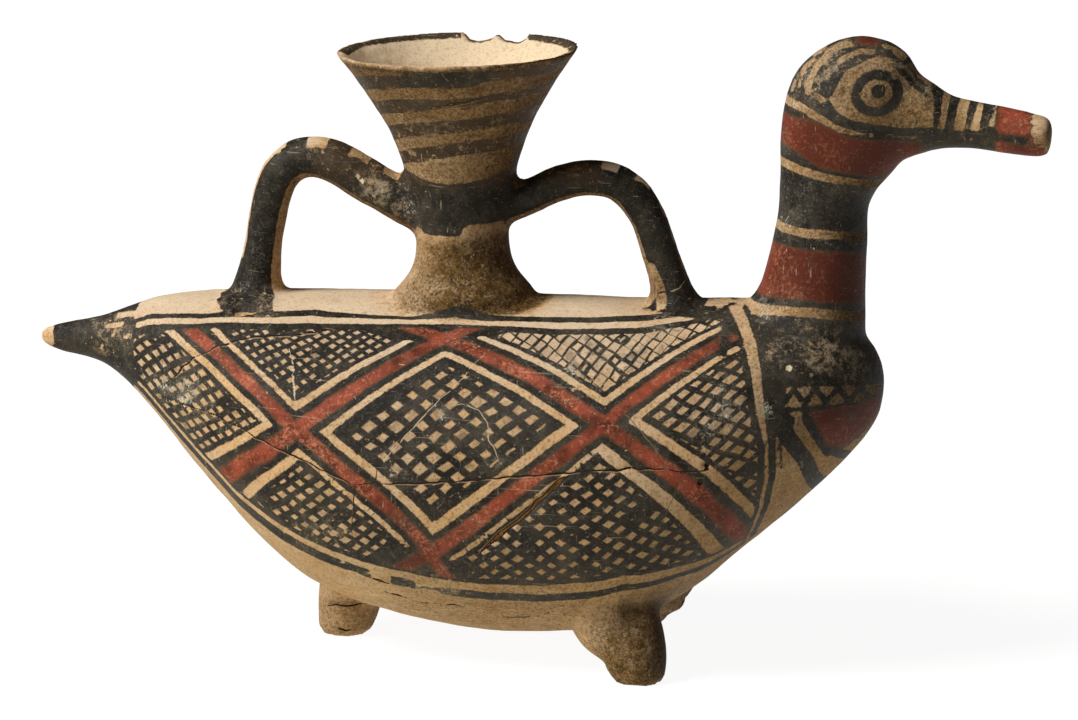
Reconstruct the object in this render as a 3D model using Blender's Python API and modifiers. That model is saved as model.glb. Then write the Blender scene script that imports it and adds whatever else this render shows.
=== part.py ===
"""A hollow clay vessel in the shape of a duck: a barrel body on three feet, a funnel mouth, two handles."""

import math

import bmesh
import bpy
import numpy as np

# Body, from the tail tip to the breast, in metres
TAIL_X = -0.1509
BODY_LENGTH = 0.2550
BODY_HEIGHT = 0.101
BODY_WIDTH = 0.106
BELLY_CLEARANCE = 0.0062
BODY_FULLNESS = 2.1
WALL = 0.0042

# Lines of the body: along its length, underside, back, width, each as a share of the whole
BODY_LINES = (
    (0.000, 0.783, 0.826, 0.036),
    (0.024, 0.762, 0.846, 0.088),
    (0.071, 0.742, 0.872, 0.140),
    (0.102, 0.697, 0.904, 0.200),
    (0.142, 0.606, 0.941, 0.350),
    (0.189, 0.473, 0.960, 0.530),
    (0.236, 0.350, 0.970, 0.685),
    (0.283, 0.237, 0.976, 0.810),
    (0.354, 0.106, 0.980, 0.925),
    (0.449, 0.032, 0.986, 0.990),
    (0.560, 0.000, 0.996, 1.000),
    (0.685, 0.022, 0.999, 0.972),
    (0.780, 0.143, 1.009, 0.880),
    (0.850, 0.298, 1.016, 0.760),
    (0.906, 0.428, 1.010, 0.620),
    (0.955, 0.554, 0.966, 0.440),
    (0.984, 0.648, 0.902, 0.250),
    (0.996, 0.712, 0.850, 0.110),
    (1.000, 0.785, 0.805, 0.010),
)

# Neck and head, as level slices: height, back and front of the slice, width, shares of the neck's sizes
NECK_X = 0.0705
NECK_DEPTH = 0.0270
NECK_WIDTH = 0.0270
NECK_FOOT_Z = 0.096
HEAD_TOP_Z = 0.1895
NECK_LINES = (
    (0.000, -0.70, 1.02, 1.45),
    (0.085, -0.42, 1.02, 1.38),
    (0.150, -0.24, 1.01, 1.22),
    (0.214, -0.13, 1.00, 1.11),
    (0.278, -0.07, 1.00, 1.06),
    (0.364, -0.01, 1.00, 1.03),
    (0.449, 0.03, 0.99, 1.00),
    (0.513, 0.03, 1.09, 1.01),
    (0.578, 0.03, 1.27, 1.06),
    (0.642, 0.025, 1.42, 1.12),
    (0.706, 0.03, 1.51, 1.17),
    (0.770, 0.05, 1.54, 1.18),
    (0.834, 0.10, 1.53, 1.12),
    (0.898, 0.22, 1.48, 0.97),
    (0.952, 0.42, 1.35, 0.70),
    (0.984, 0.63, 1.15, 0.40),
    (1.000, 0.86, 0.90, 0.04),
)

# Beak: along its length, underside and top as shares of its height, width
BEAK_ROOT_X = 0.098
BEAK_LENGTH = 0.0522
BEAK_FOOT_Z = 0.1575
BEAK_HEIGHT = 0.0130
BEAK_LINES = (
    (0.00, -0.45, 1.95, 2.00),
    (0.14, -0.38, 1.91, 1.80),
    (0.27, -0.18, 1.60, 1.55),
    (0.34, -0.08, 1.43, 1.38),
    (0.44, 0.00, 1.19, 1.20),
    (0.56, 0.02, 1.09, 1.08),
    (0.68, -0.03, 1.02, 1.02),
    (0.82, -0.09, 0.93, 0.98),
    (0.93, -0.12, 0.84, 0.94),
    (0.985, -0.06, 0.76, 0.80),
    (1.000, 0.22, 0.62, 0.40),
)

# Funnel mouth on the back, leaning a little to the tail
FUNNEL_X = -0.0216
FUNNEL_LEAN = math.radians(2.7)
FUNNEL_FOOT_Z = 0.100
FUNNEL_HEIGHT = 0.0803
STEM_RADIUS = 0.0139
STEM_HEIGHT = 0.0220
MOUTH_RADIUS = 0.0362
FLARE_POWER = 2.2
STEM_SPREAD = 0.0190
STEM_SPREAD_POWER = 2.2
STEM_ROOT_RADIUS = 0.0205
LIP_RADIUS = 0.0018
MOUTH_WALL = 0.0040
BORE_RADIUS = 0.0092
CHIP_DEPTH = 0.0028
CHIP_LENGTH = 0.0240
CHIP_SIDE = 0.0080

# Handles: a roll of clay from the back up and over to the stem
HANDLE_THICKNESS = 0.0114
HANDLE_FLATTENING = 1.10
HANDLE_SPAN_REAR = 0.0600
HANDLE_SPAN_FRONT = 0.0600
HANDLE_RISE_REAR = 0.0390
HANDLE_RISE_FRONT = 0.0370
REAR_HANDLE_X = -0.0835
FRONT_HANDLE_X = 0.0400

# Way of each handle: share of its span, share of its rise, thickness
REAR_HANDLE_WAY = (
    (-0.020, -0.12, 1.58),
    (-0.010, 0.08, 1.14),
    (0.012, 0.32, 0.98),
    (0.040, 0.60, 0.98),
    (0.100, 0.87, 1.00),
    (0.210, 0.99, 1.06),
    (0.360, 0.965, 1.14),
    (0.560, 0.805, 1.17),
    (0.780, 0.64, 1.17),
    (0.960, 0.53, 1.20),
)
FRONT_HANDLE_WAY = (
    (-0.035, -0.12, 1.62),
    (-0.004, 0.10, 1.12),
    (0.045, 0.34, 0.94),
    (0.093, 0.56, 0.94),
    (0.152, 0.76, 0.94),
    (0.248, 0.925, 0.94),
    (0.400, 0.985, 0.95),
    (0.560, 0.93, 0.98),
    (0.720, 0.795, 1.02),
    (0.940, 0.61, 1.14),
)

# Feet: two side by side under the breast, one under the tail end
FOOT_FRONT_X = 0.0376
FAR_FOOT_SHIFT = -0.0085
FAR_FOOT_SPLAY = 0.0040
FRONT_ROOT_X = 0.0312
FOOT_SPACING = 0.0680
FOOT_REAR_X = -0.0576
REAR_ROOT_X = -0.0520
FOOT_REAR_SIDE = 0.0030
FOOT_RADIUS = 0.0078
FOOT_ROOT_RADIUS = 0.0160
FOOT_ROOT_Z = 0.0240

# Way of each foot, from inside the belly down: shares of the lean, the side, the root's height and radius
FOOT_WAY = (
    (1.00, 0.62, 1.17, 1.30),
    (0.78, 0.76, 0.72, 1.04),
    (0.30, 0.92, 0.36, 0.61),
)
FOOT_END_SHARE = 0.94

# How far the hollow reaches, as shares of the body's length and of the neck's height
HOLLOW_START_SHARE = 0.145
HOLLOW_END_SHARE = 0.975
NECK_HOLLOW_START_SHARE = 0.02
NECK_HOLLOW_END_SHARE = 0.90

# Fineness of the modelled surface
RING_POINTS = 40
BODY_STEPS = 64
NECK_STEPS = 48
BEAK_STEPS = 32
BEAK_POINTS = 28
FUNNEL_STEPS = 26
BORE_STEPS = 14
HOLLOW_STEPS = 30
HOLLOW_POINTS = 28
NECK_HOLLOW_STEPS = 22
NECK_HOLLOW_POINTS = 20
VOXEL = 0.0018
SMOOTHING_ROUNDS = 9
OUTER_SHARE = 0.055
CUT_MARGIN = 0.020

CLAY_COLOUR = (0.50, 0.33, 0.20, 1.0)
CLAY_ROUGHNESS = 0.75


def clear_scene():
    for obj in list(bpy.data.objects):
        bpy.data.objects.remove(obj, do_unlink=True)


def named_collection(name):
    collection = bpy.data.collections.new(name)
    bpy.context.scene.collection.children.link(collection)
    return collection


def smooth_lines(rows, steps):
    """Passes a monotone curve through the rows, by distance along them, and returns finer rows."""
    rows = np.array(rows, dtype=float)
    gaps = np.sqrt((np.diff(rows, axis=0) ** 2).sum(axis=1))
    place = np.concatenate(([0.0], np.cumsum(gaps)))
    fine = np.linspace(0.0, place[-1], steps)
    index = np.clip(np.searchsorted(place, fine, side="right") - 1, 0, len(place) - 2)
    step = place[index + 1] - place[index]
    share = (fine - place[index]) / step
    columns = []
    for column in rows.T:
        slope = np.diff(column) / gaps
        tangent = np.zeros(len(column))
        product = slope[:-1] * slope[1:]
        same_way = product > 0
        total = slope[:-1] + slope[1:]
        inner = np.where(same_way, 2.0 * product / np.where(same_way, total, 1.0), 0.0)
        tangent[1:-1] = inner
        tangent[0] = slope[0]
        tangent[-1] = slope[-1]
        start = (2 * share**3 - 3 * share**2 + 1) * column[index]
        start_pull = (share**3 - 2 * share**2 + share) * step * tangent[index]
        end = (-2 * share**3 + 3 * share**2) * column[index + 1]
        end_pull = (share**3 - share**2) * step * tangent[index + 1]
        columns.append(start + start_pull + end + end_pull)
    return np.stack(columns, axis=1)


def new_object(name, mesh, collection):
    obj = bpy.data.objects.new(name, mesh)
    collection.objects.link(obj)
    return obj


def loft(name, rings, collection):
    """Skins a row of closed rings, each with the same number of points, and caps both ends."""
    form = bmesh.new()
    levels = []
    for ring in rings:
        levels.append([form.verts.new(point) for point in ring])
    count = len(levels[0])
    for low, high in zip(levels, levels[1:]):
        for i in range(count):
            j = (i + 1) % count
            form.faces.new((low[i], low[j], high[j], high[i]))
    form.faces.new(levels[0][::-1])
    form.faces.new(levels[-1])
    bmesh.ops.recalc_face_normals(form, faces=form.faces)
    mesh = bpy.data.meshes.new(name)
    form.to_mesh(mesh)
    form.free()
    return new_object(name, mesh, collection)


def oval(angle, power):
    """A point of an oval one unit in radius; a power above two makes it squarer."""
    c = math.cos(angle)
    s = math.sin(angle)
    return (
        math.copysign(abs(c) ** (2.0 / power), c),
        math.copysign(abs(s) ** (2.0 / power), s),
    )


def body_rings(inset, start, end, steps, points):
    lines = smooth_lines(BODY_LINES, steps)
    rings = []
    for along, low, high, width in lines:
        if along < start or along > end:
            continue
        x = TAIL_X + BODY_LENGTH * along
        foot = BELLY_CLEARANCE + BODY_HEIGHT * low + inset
        top = BELLY_CLEARANCE + BODY_HEIGHT * high - inset
        half_width = BODY_WIDTH * width / 2 - inset
        half_height = (top - foot) / 2
        middle = (top + foot) / 2
        ring = []
        for i in range(points):
            across, up = oval(2 * math.pi * i / points, BODY_FULLNESS)
            ring.append((x, half_width * across, middle + half_height * up))
        rings.append(ring)
    return rings


def neck_rings(inset, start, end, steps, points):
    height = HEAD_TOP_Z - NECK_FOOT_Z
    rings = []
    for share, back, front, width in smooth_lines(NECK_LINES, steps):
        if share < start or share > end:
            continue
        rear = NECK_X + NECK_DEPTH * back + inset
        fore = NECK_X + NECK_DEPTH * front - inset
        half_width = NECK_WIDTH * width / 2 - inset
        ring = []
        for i in range(points):
            along, across = oval(2 * math.pi * i / points, 2.0)
            x = (rear + fore) / 2 + along * (fore - rear) / 2
            ring.append((x, half_width * across, NECK_FOOT_Z + height * share))
        rings.append(ring)
    return rings


def beak_rings(steps, points):
    rings = []
    for along, low, high, width in smooth_lines(BEAK_LINES, steps):
        x = BEAK_ROOT_X + BEAK_LENGTH * along
        foot = BEAK_FOOT_Z + BEAK_HEIGHT * low
        top = BEAK_FOOT_Z + BEAK_HEIGHT * high
        ring = []
        for i in range(points):
            across, up = oval(2 * math.pi * i / points, 2.0)
            y = across * BEAK_HEIGHT * width / 2
            ring.append((x, y, (top + foot) / 2 + up * (top - foot) / 2))
        rings.append(ring)
    return rings


def stem_radius(height):
    """Outer radius of the funnel at a height above its foot."""
    narrow = STEM_HEIGHT
    if height > narrow:
        share = (height - narrow) / (FUNNEL_HEIGHT - narrow)
        return STEM_RADIUS + (MOUTH_RADIUS - STEM_RADIUS) * share**FLARE_POWER
    share = (narrow - height) / narrow
    return min(STEM_RADIUS + STEM_SPREAD * share**STEM_SPREAD_POWER, STEM_ROOT_RADIUS)


def turned(name, profile, collection):
    """Turns a profile of radius and height, listed from the top down, about the leaning axis."""
    mesh = bpy.data.meshes.new(name)
    points = [(radius, 0.0, height) for radius, height in profile]
    mesh.from_pydata(points, [(i, i + 1) for i in range(len(points) - 1)], [])
    obj = new_object(name, mesh, collection)
    obj.location = (FUNNEL_X, 0.0, FUNNEL_FOOT_Z)
    obj.rotation_euler = (0.0, -FUNNEL_LEAN, 0.0)
    screw = obj.modifiers.new("Turn", "SCREW")
    screw.axis = "Z"
    screw.steps = RING_POINTS
    screw.render_steps = RING_POINTS
    screw.use_merge_vertices = True
    screw.merge_threshold = 0.00001
    screw.use_normal_calculate = True
    return obj


def funnel(collection):
    profile = [(0.0, FUNNEL_HEIGHT)]
    for i in range(FUNNEL_STEPS + 1):
        height = FUNNEL_HEIGHT * (1 - i / FUNNEL_STEPS)
        profile.append((stem_radius(height), height))
    profile.append((0.0, 0.0))
    return turned("funnel", profile, collection)


def bore(collection):
    """The cup, the throat and the way down into the belly."""
    profile = [(0.0, FUNNEL_HEIGHT + CUT_MARGIN)]
    rise = MOUTH_RADIUS - MOUTH_WALL + LIP_RADIUS
    profile.append((rise + CUT_MARGIN / 2, FUNNEL_HEIGHT + CUT_MARGIN))
    profile.append((rise, FUNNEL_HEIGHT))
    for i in range(1, BORE_STEPS + 1):
        height = FUNNEL_HEIGHT - (FUNNEL_HEIGHT - STEM_HEIGHT) * i / BORE_STEPS
        profile.append((max(stem_radius(height) - MOUTH_WALL, BORE_RADIUS), height))
    profile.append((BORE_RADIUS, -CUT_MARGIN))
    profile.append((0.0, -CUT_MARGIN))
    return turned("bore", profile, collection)


def tube(name, points, radii, thickness, collection):
    """A roll of clay through the points, swelling where a radius is above one."""
    curve = bpy.data.curves.new(name, "CURVE")
    curve.dimensions = "3D"
    curve.bevel_depth = thickness / 2
    curve.bevel_resolution = 4
    curve.use_fill_caps = True
    curve.resolution_u = 8
    spline = curve.splines.new("BEZIER")
    spline.bezier_points.add(len(points) - 1)
    for knot, point, radius in zip(spline.bezier_points, points, radii):
        knot.co = point
        knot.radius = radius
        knot.handle_left_type = "AUTO"
        knot.handle_right_type = "AUTO"
    obj = new_object(name + " curve", curve, collection)
    bpy.context.view_layer.update()
    evaluated = obj.evaluated_get(bpy.context.evaluated_depsgraph_get())
    mesh = bpy.data.meshes.new_from_object(evaluated)
    form = bmesh.new()
    form.from_mesh(mesh)
    bmesh.ops.remove_doubles(form, verts=form.verts, dist=0.00001)
    bmesh.ops.recalc_face_normals(form, faces=form.faces)
    form.to_mesh(mesh)
    form.free()
    bpy.data.objects.remove(obj, do_unlink=True)
    return new_object(name, mesh, collection)


def handle(name, base_x, span, rise, places, collection):
    """One loop: its leg stands on the back, its crown leans over and joins the stem."""
    back_z = BELLY_CLEARANCE + BODY_HEIGHT
    way = math.copysign(1.0, FUNNEL_X - base_x)
    points = []
    radii = []
    for along, up, radius in places:
        points.append((base_x + way * span * along, 0.0, back_z + rise * up))
        radii.append(radius)
    obj = tube(name, points, radii, HANDLE_THICKNESS, collection)
    for vertex in obj.data.vertices:
        vertex.co.y *= HANDLE_FLATTENING
    return obj


def foot(name, x, y, root_x, collection):
    """A pinched cone of clay, wide where it leaves the belly and running a little into the ground."""
    points = []
    radii = []
    for lean, side, up, wide in FOOT_WAY:
        points.append((x + (root_x - x) * lean, y * side, FOOT_ROOT_Z * up))
        radii.append(wide * FOOT_ROOT_RADIUS / FOOT_RADIUS)
    points.append((x, y, -FOOT_RADIUS / 3))
    radii.append(FOOT_END_SHARE)
    return tube(name, points, radii, FOOT_RADIUS * 2, collection)


def box(name, low, high, collection):
    bpy.ops.mesh.primitive_cube_add(size=1.0)
    obj = bpy.context.object
    for old in list(obj.users_collection):
        old.objects.unlink(obj)
    collection.objects.link(obj)
    obj.name = name
    for vertex in obj.data.vertices:
        for axis in range(3):
            corner = high[axis] if vertex.co[axis] > 0 else low[axis]
            vertex.co[axis] = corner
    return obj


def apply_modifiers(obj):
    """Bakes what the modifiers make into the object's own mesh, in world space."""
    bpy.context.view_layer.update()
    evaluated = obj.evaluated_get(bpy.context.evaluated_depsgraph_get())
    mesh = bpy.data.meshes.new_from_object(evaluated)
    mesh.transform(obj.matrix_world)
    obj.modifiers.clear()
    obj.data = mesh
    obj.matrix_world = ((1, 0, 0, 0), (0, 1, 0, 0), (0, 0, 1, 0), (0, 0, 0, 1))


def chip(collection):
    """The worn gap in the far side of the funnel's rim."""
    bpy.ops.mesh.primitive_uv_sphere_add(segments=24, ring_count=12, radius=1.0)
    obj = bpy.context.object
    for old in list(obj.users_collection):
        old.objects.unlink(obj)
    collection.objects.link(obj)
    obj.name = "chip"
    obj.scale = (CHIP_LENGTH / 2, MOUTH_WALL, CHIP_DEPTH)
    lean = math.sin(FUNNEL_LEAN) * FUNNEL_HEIGHT
    obj.location = (FUNNEL_X - lean + CHIP_SIDE, MOUTH_RADIUS, FUNNEL_FOOT_Z + FUNNEL_HEIGHT)
    return obj


def boolean(obj, other, operation):
    modifier = obj.modifiers.new(operation.title(), "BOOLEAN")
    modifier.operation = operation
    modifier.solver = "EXACT"
    modifier.object = other
    apply_modifiers(obj)
    bpy.data.objects.remove(other, do_unlink=True)


def outer_form(parts, cutters):
    """All the outer shapes grown into one body with soft joints."""
    far_foot_x = FOOT_FRONT_X + FAR_FOOT_SHIFT
    far_foot_y = FOOT_SPACING / 2 + FAR_FOOT_SPLAY
    front_handle = handle(
        "front handle", FRONT_HANDLE_X, HANDLE_SPAN_FRONT, HANDLE_RISE_FRONT, FRONT_HANDLE_WAY, cutters
    )
    form = loft("vessel", body_rings(0.0, 0.0, 1.0, BODY_STEPS, RING_POINTS), parts)
    shapes = [
        loft("neck", neck_rings(0.0, 0.0, 1.0, NECK_STEPS, RING_POINTS), cutters),
        loft("beak", beak_rings(BEAK_STEPS, BEAK_POINTS), cutters),
        funnel(cutters),
        handle("rear handle", REAR_HANDLE_X, HANDLE_SPAN_REAR, HANDLE_RISE_REAR, REAR_HANDLE_WAY, cutters),
        front_handle,
        foot("near front foot", FOOT_FRONT_X, -FOOT_SPACING / 2, FRONT_ROOT_X, cutters),
        foot("far front foot", far_foot_x, far_foot_y, FRONT_ROOT_X, cutters),
        foot("rear foot", FOOT_REAR_X, FOOT_REAR_SIDE, REAR_ROOT_X, cutters),
    ]
    for shape in shapes:
        apply_modifiers(shape)
        boolean(form, shape, "UNION")
    remesh = form.modifiers.new("Grow together", "REMESH")
    remesh.mode = "VOXEL"
    remesh.voxel_size = VOXEL
    smooth = form.modifiers.new("Soften", "SMOOTH")
    smooth.factor = 0.5
    smooth.iterations = SMOOTHING_ROUNDS
    decimate = form.modifiers.new("Thin out", "DECIMATE")
    decimate.ratio = OUTER_SHARE
    apply_modifiers(form)
    return form


def build():
    clear_scene()
    parts = named_collection("duck vessel")
    cutters = named_collection("cutters")
    vessel = outer_form(parts, cutters)
    reach = BODY_LENGTH
    depth = FOOT_ROOT_Z
    ground = box("ground", (-reach, -reach, -depth), (reach, reach, 0.0), cutters)
    boolean(vessel, ground, "DIFFERENCE")
    belly = body_rings(WALL, HOLLOW_START_SHARE, HOLLOW_END_SHARE, HOLLOW_STEPS, HOLLOW_POINTS)
    hollow = loft("hollow", belly, cutters)
    neck = neck_rings(
        WALL, NECK_HOLLOW_START_SHARE, NECK_HOLLOW_END_SHARE, NECK_HOLLOW_STEPS, NECK_HOLLOW_POINTS
    )
    throat = loft("neck hollow", neck, cutters)
    boolean(hollow, throat, "UNION")
    mouth = bore(cutters)
    apply_modifiers(mouth)
    boolean(hollow, mouth, "UNION")
    boolean(vessel, hollow, "DIFFERENCE")
    gap = chip(cutters)
    apply_modifiers(gap)
    boolean(vessel, gap, "DIFFERENCE")
    material = bpy.data.materials.new("painted clay")
    material.use_nodes = True
    shader = material.node_tree.nodes["Principled BSDF"]
    shader.inputs["Base Color"].default_value = CLAY_COLOUR
    shader.inputs["Roughness"].default_value = CLAY_ROUGHNESS
    shader.inputs["Metallic"].default_value = 0.0
    vessel.data.materials.clear()
    vessel.data.materials.append(material)
    vessel.data.shade_smooth()
    vessel.data.set_sharp_from_angle(angle=math.radians(40))


build()
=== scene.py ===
"""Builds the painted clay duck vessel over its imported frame: its form, its brushwork and its stage."""

import math

import bmesh
import bpy
import numpy as np
from mathutils import Matrix, Vector, noise
from mathutils.kdtree import KDTree


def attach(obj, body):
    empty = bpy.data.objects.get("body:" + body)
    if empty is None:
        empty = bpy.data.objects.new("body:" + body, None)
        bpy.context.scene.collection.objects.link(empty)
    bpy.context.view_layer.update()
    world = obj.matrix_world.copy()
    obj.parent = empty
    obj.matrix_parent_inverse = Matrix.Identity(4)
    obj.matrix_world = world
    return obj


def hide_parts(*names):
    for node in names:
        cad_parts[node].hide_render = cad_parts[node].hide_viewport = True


bl_info = {
    "name": "Painted duck vessel",
    "version": (1, 0, 0),
    "blender": (4, 5, 0),
    "location": "3D View > Sidebar > Duck vessel",
    "description": "Builds the painted clay duck vessel and its stage over the packed frame",
    "category": "Object",
}

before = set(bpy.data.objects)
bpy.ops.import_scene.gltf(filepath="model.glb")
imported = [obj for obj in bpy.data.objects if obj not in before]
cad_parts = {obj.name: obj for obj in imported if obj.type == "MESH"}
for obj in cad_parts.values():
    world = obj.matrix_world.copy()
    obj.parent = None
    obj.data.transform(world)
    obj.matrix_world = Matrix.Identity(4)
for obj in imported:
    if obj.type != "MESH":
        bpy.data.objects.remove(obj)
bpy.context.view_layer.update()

MM = 0.001
TINY = 0.000001

# Body, from the tail tip to the breast, in metres, as the solid has it
TAIL_X = -0.1509
BODY_LENGTH = 0.2550
BODY_HEIGHT = 0.101
BODY_WIDTH = 0.106
BELLY_CLEARANCE = 0.0062
BODY_FULLNESS = 2.1

# Lines of the body: along its length, underside, back, width, each as a share of the whole
BODY_LINES = (
    (0.000, 0.783, 0.826, 0.036),
    (0.024, 0.762, 0.846, 0.088),
    (0.071, 0.742, 0.872, 0.140),
    (0.102, 0.697, 0.904, 0.200),
    (0.142, 0.606, 0.941, 0.350),
    (0.189, 0.473, 0.960, 0.530),
    (0.236, 0.350, 0.970, 0.685),
    (0.283, 0.237, 0.976, 0.810),
    (0.354, 0.106, 0.980, 0.925),
    (0.449, 0.032, 0.986, 0.990),
    (0.560, 0.000, 0.996, 1.000),
    (0.685, 0.022, 0.999, 0.972),
    (0.780, 0.143, 1.009, 0.880),
    (0.850, 0.298, 1.016, 0.760),
    (0.906, 0.428, 1.010, 0.620),
    (0.955, 0.554, 0.966, 0.440),
    (0.984, 0.648, 0.902, 0.250),
    (0.996, 0.712, 0.850, 0.110),
    (1.000, 0.785, 0.805, 0.010),
)

# Neck and head, as level slices: height, back and front of the slice, width, shares of the neck's sizes
NECK_X = 0.0705
NECK_DEPTH = 0.0270
NECK_WIDTH = 0.0270
NECK_FOOT_Z = 0.096
HEAD_TOP_Z = 0.1895
NECK_LINES = (
    (0.000, -0.70, 1.02, 1.45),
    (0.085, -0.42, 1.02, 1.38),
    (0.150, -0.24, 1.01, 1.22),
    (0.214, -0.13, 1.00, 1.11),
    (0.278, -0.07, 1.00, 1.06),
    (0.364, -0.01, 1.00, 1.03),
    (0.449, 0.03, 0.99, 1.00),
    (0.513, 0.03, 1.09, 1.01),
    (0.578, 0.03, 1.27, 1.06),
    (0.642, 0.025, 1.42, 1.12),
    (0.706, 0.03, 1.51, 1.17),
    (0.770, 0.05, 1.54, 1.18),
    (0.834, 0.10, 1.53, 1.12),
    (0.898, 0.22, 1.48, 0.97),
    (0.952, 0.42, 1.35, 0.70),
    (0.984, 0.63, 1.15, 0.40),
    (1.000, 0.86, 0.90, 0.04),
)

# Beak: along its length, underside and top as shares of its height, width
BEAK_ROOT_X = 0.098
BEAK_LENGTH = 0.0522
BEAK_FOOT_Z = 0.1575
BEAK_HEIGHT = 0.0130
BEAK_LINES = (
    (0.00, -0.45, 1.95, 2.00),
    (0.14, -0.38, 1.91, 1.80),
    (0.27, -0.18, 1.60, 1.55),
    (0.34, -0.08, 1.43, 1.38),
    (0.44, 0.00, 1.19, 1.20),
    (0.56, 0.02, 1.09, 1.08),
    (0.68, -0.03, 1.02, 1.02),
    (0.82, -0.09, 0.93, 0.98),
    (0.93, -0.12, 0.84, 0.94),
    (0.985, -0.06, 0.76, 0.80),
    (1.000, 0.22, 0.62, 0.40),
)

# Funnel mouth on the back, leaning a little to the tail
FUNNEL_X = -0.0216
FUNNEL_LEAN = math.radians(2.7)
FUNNEL_FOOT_Z = 0.100
FUNNEL_HEIGHT = 0.0803
STEM_RADIUS = 0.0139
STEM_HEIGHT = 0.0220
MOUTH_RADIUS = 0.0362
FLARE_POWER = 2.2
STEM_SPREAD = 0.0190
STEM_SPREAD_POWER = 2.2
STEM_ROOT_RADIUS = 0.0205
MOUTH_WALL = 0.0040
LIP_THINNING = 0.0018
LIP_DEPTH = 4.0
LIP_SQUARENESS = 4.0
LIP_POWER = 12.0
BORE_RADIUS = 0.0092
CUP_MARGIN = 0.006

# Handles: a roll of clay from the back up and over to the stem
HANDLE_FLATTENING = 1.10
HANDLE_SPAN = 0.0600
HANDLE_RISE_REAR = 0.0390
HANDLE_RISE_FRONT = 0.0370
REAR_HANDLE_X = -0.0835
FRONT_HANDLE_X = 0.0400

# Way of each handle: share of its span, share of its rise, thickness of the roll there
REAR_HANDLE_WAY = (
    (-0.020, -0.12, 1.58),
    (-0.010, 0.08, 1.14),
    (0.012, 0.32, 0.98),
    (0.040, 0.60, 0.98),
    (0.100, 0.87, 1.00),
    (0.210, 0.99, 1.06),
    (0.360, 0.965, 1.14),
    (0.560, 0.805, 1.17),
    (0.780, 0.64, 1.17),
    (0.960, 0.53, 1.20),
)
FRONT_HANDLE_WAY = (
    (-0.035, -0.12, 1.62),
    (-0.004, 0.10, 1.12),
    (0.045, 0.34, 0.94),
    (0.093, 0.56, 0.94),
    (0.152, 0.76, 0.94),
    (0.248, 0.925, 0.94),
    (0.400, 0.985, 0.95),
    (0.560, 0.93, 0.96),
    (0.720, 0.80, 0.95),
    (0.940, 0.64, 0.92),
)

# Each handle: its name, foot, rise and way
HANDLES = (
    ("rear handle", REAR_HANDLE_X, HANDLE_RISE_REAR, REAR_HANDLE_WAY),
    ("front handle", FRONT_HANDLE_X, HANDLE_RISE_FRONT, FRONT_HANDLE_WAY),
)

# Feet: two side by side under the breast, one under the tail end
FOOT_FRONT_X = 0.0376
FAR_FOOT_SHIFT = -0.0085
FAR_FOOT_SPLAY = 0.0040
FRONT_ROOT_X = 0.0312
FOOT_SPACING = 0.0680
FOOT_REAR_X = -0.0576
REAR_ROOT_X = -0.0520
FOOT_REAR_SIDE = 0.0030
FOOT_ROOT_RADIUS = 0.0160
FOOT_ROOT_Z = 0.0240

# Way of each foot from the belly down: share of its lean, of its spacing, of its height, of its root's size
NEAR_FOOT_WAY = (
    (1.50, 0.62, 1.17, 1.10),
    (1.22, 0.76, 0.72, 0.86),
    (0.30, 0.92, 0.36, 0.61),
)
FAR_FOOT_WAY = (
    (1.00, 0.62, 1.17, 1.30),
    (0.78, 0.76, 0.72, 1.04),
    (0.30, 0.92, 0.36, 0.61),
)
REAR_FOOT_WAY = (
    (1.00, 0.62, 1.17, 1.00),
    (0.55, 0.76, 0.72, 0.62),
    (0.30, 0.92, 0.36, 0.59),
)
FOOT_END_SHARE = 0.94
FAR_FOOT_X = FOOT_FRONT_X + FAR_FOOT_SHIFT
FAR_FOOT_SIDE = FOOT_SPACING / 2 + FAR_FOOT_SPLAY

# Each foot: its name, where it stands, where it leaves the belly and its way
FEET = (
    ("near front foot", FOOT_FRONT_X, -FOOT_SPACING / 2, FRONT_ROOT_X, NEAR_FOOT_WAY),
    ("far front foot", FAR_FOOT_X, FAR_FOOT_SIDE, FRONT_ROOT_X, FAR_FOOT_WAY),
    ("rear foot", FOOT_REAR_X, FOOT_REAR_SIDE, REAR_ROOT_X, REAR_FOOT_WAY),
)

# How the toes are rounded: height and depth of the rounding, and how far round a foot it acts, in mm
TOE_ROUNDING = 2.8
TOE_SHARE = 0.55
TOE_REACH = 12.0
TOE_RADIUS = 7.5

# How far the hollow reaches, as shares of the body's length and of the neck's height
HOLLOW_START_SHARE = 0.145
HOLLOW_END_SHARE = 0.975
NECK_HOLLOW_START_SHARE = 0.02
NECK_HOLLOW_END_SHARE = 0.90

# Fineness of the modelled surface
BODY_STEPS = 110
NECK_STEPS = 80
BEAK_STEPS = 50
RING_POINTS = 72
BEAK_POINTS = 40
HOLLOW_STEPS = 40
HOLLOW_POINTS = 36
NECK_HOLLOW_STEPS = 24
NECK_HOLLOW_POINTS = 24
ROLL_GAP = 0.0020
MERGE_DISTANCE = 0.00001
ROLL_POINTS = 28
FUNNEL_RINGS = 48
FUNNEL_POINTS = 96
FUNNEL_ROOT = -0.002
THROAT_LOW_END = -0.02
THROAT_SHARE = 0.7
FIRST_VOXEL = 0.00125
SOFTENING_ROUNDS = 5
GROUND_GRIP = 0.0003
LINE_ROWS = 400
HANDLE_ROWS = 80

# Calibrated camera, metres and degrees
VIEW_AZIMUTH = 8.0
VIEW_ELEVATION = 12.0
VIEW_DISTANCE = 1.6
VIEW_ROLL = 1.3
VIEW_TARGET = (0.0010, 0.0, 0.0877)
PICTURE_WIDTH = 1078
FOCAL_PIXELS = 5370
FILM_WIDTH = 36.0

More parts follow.
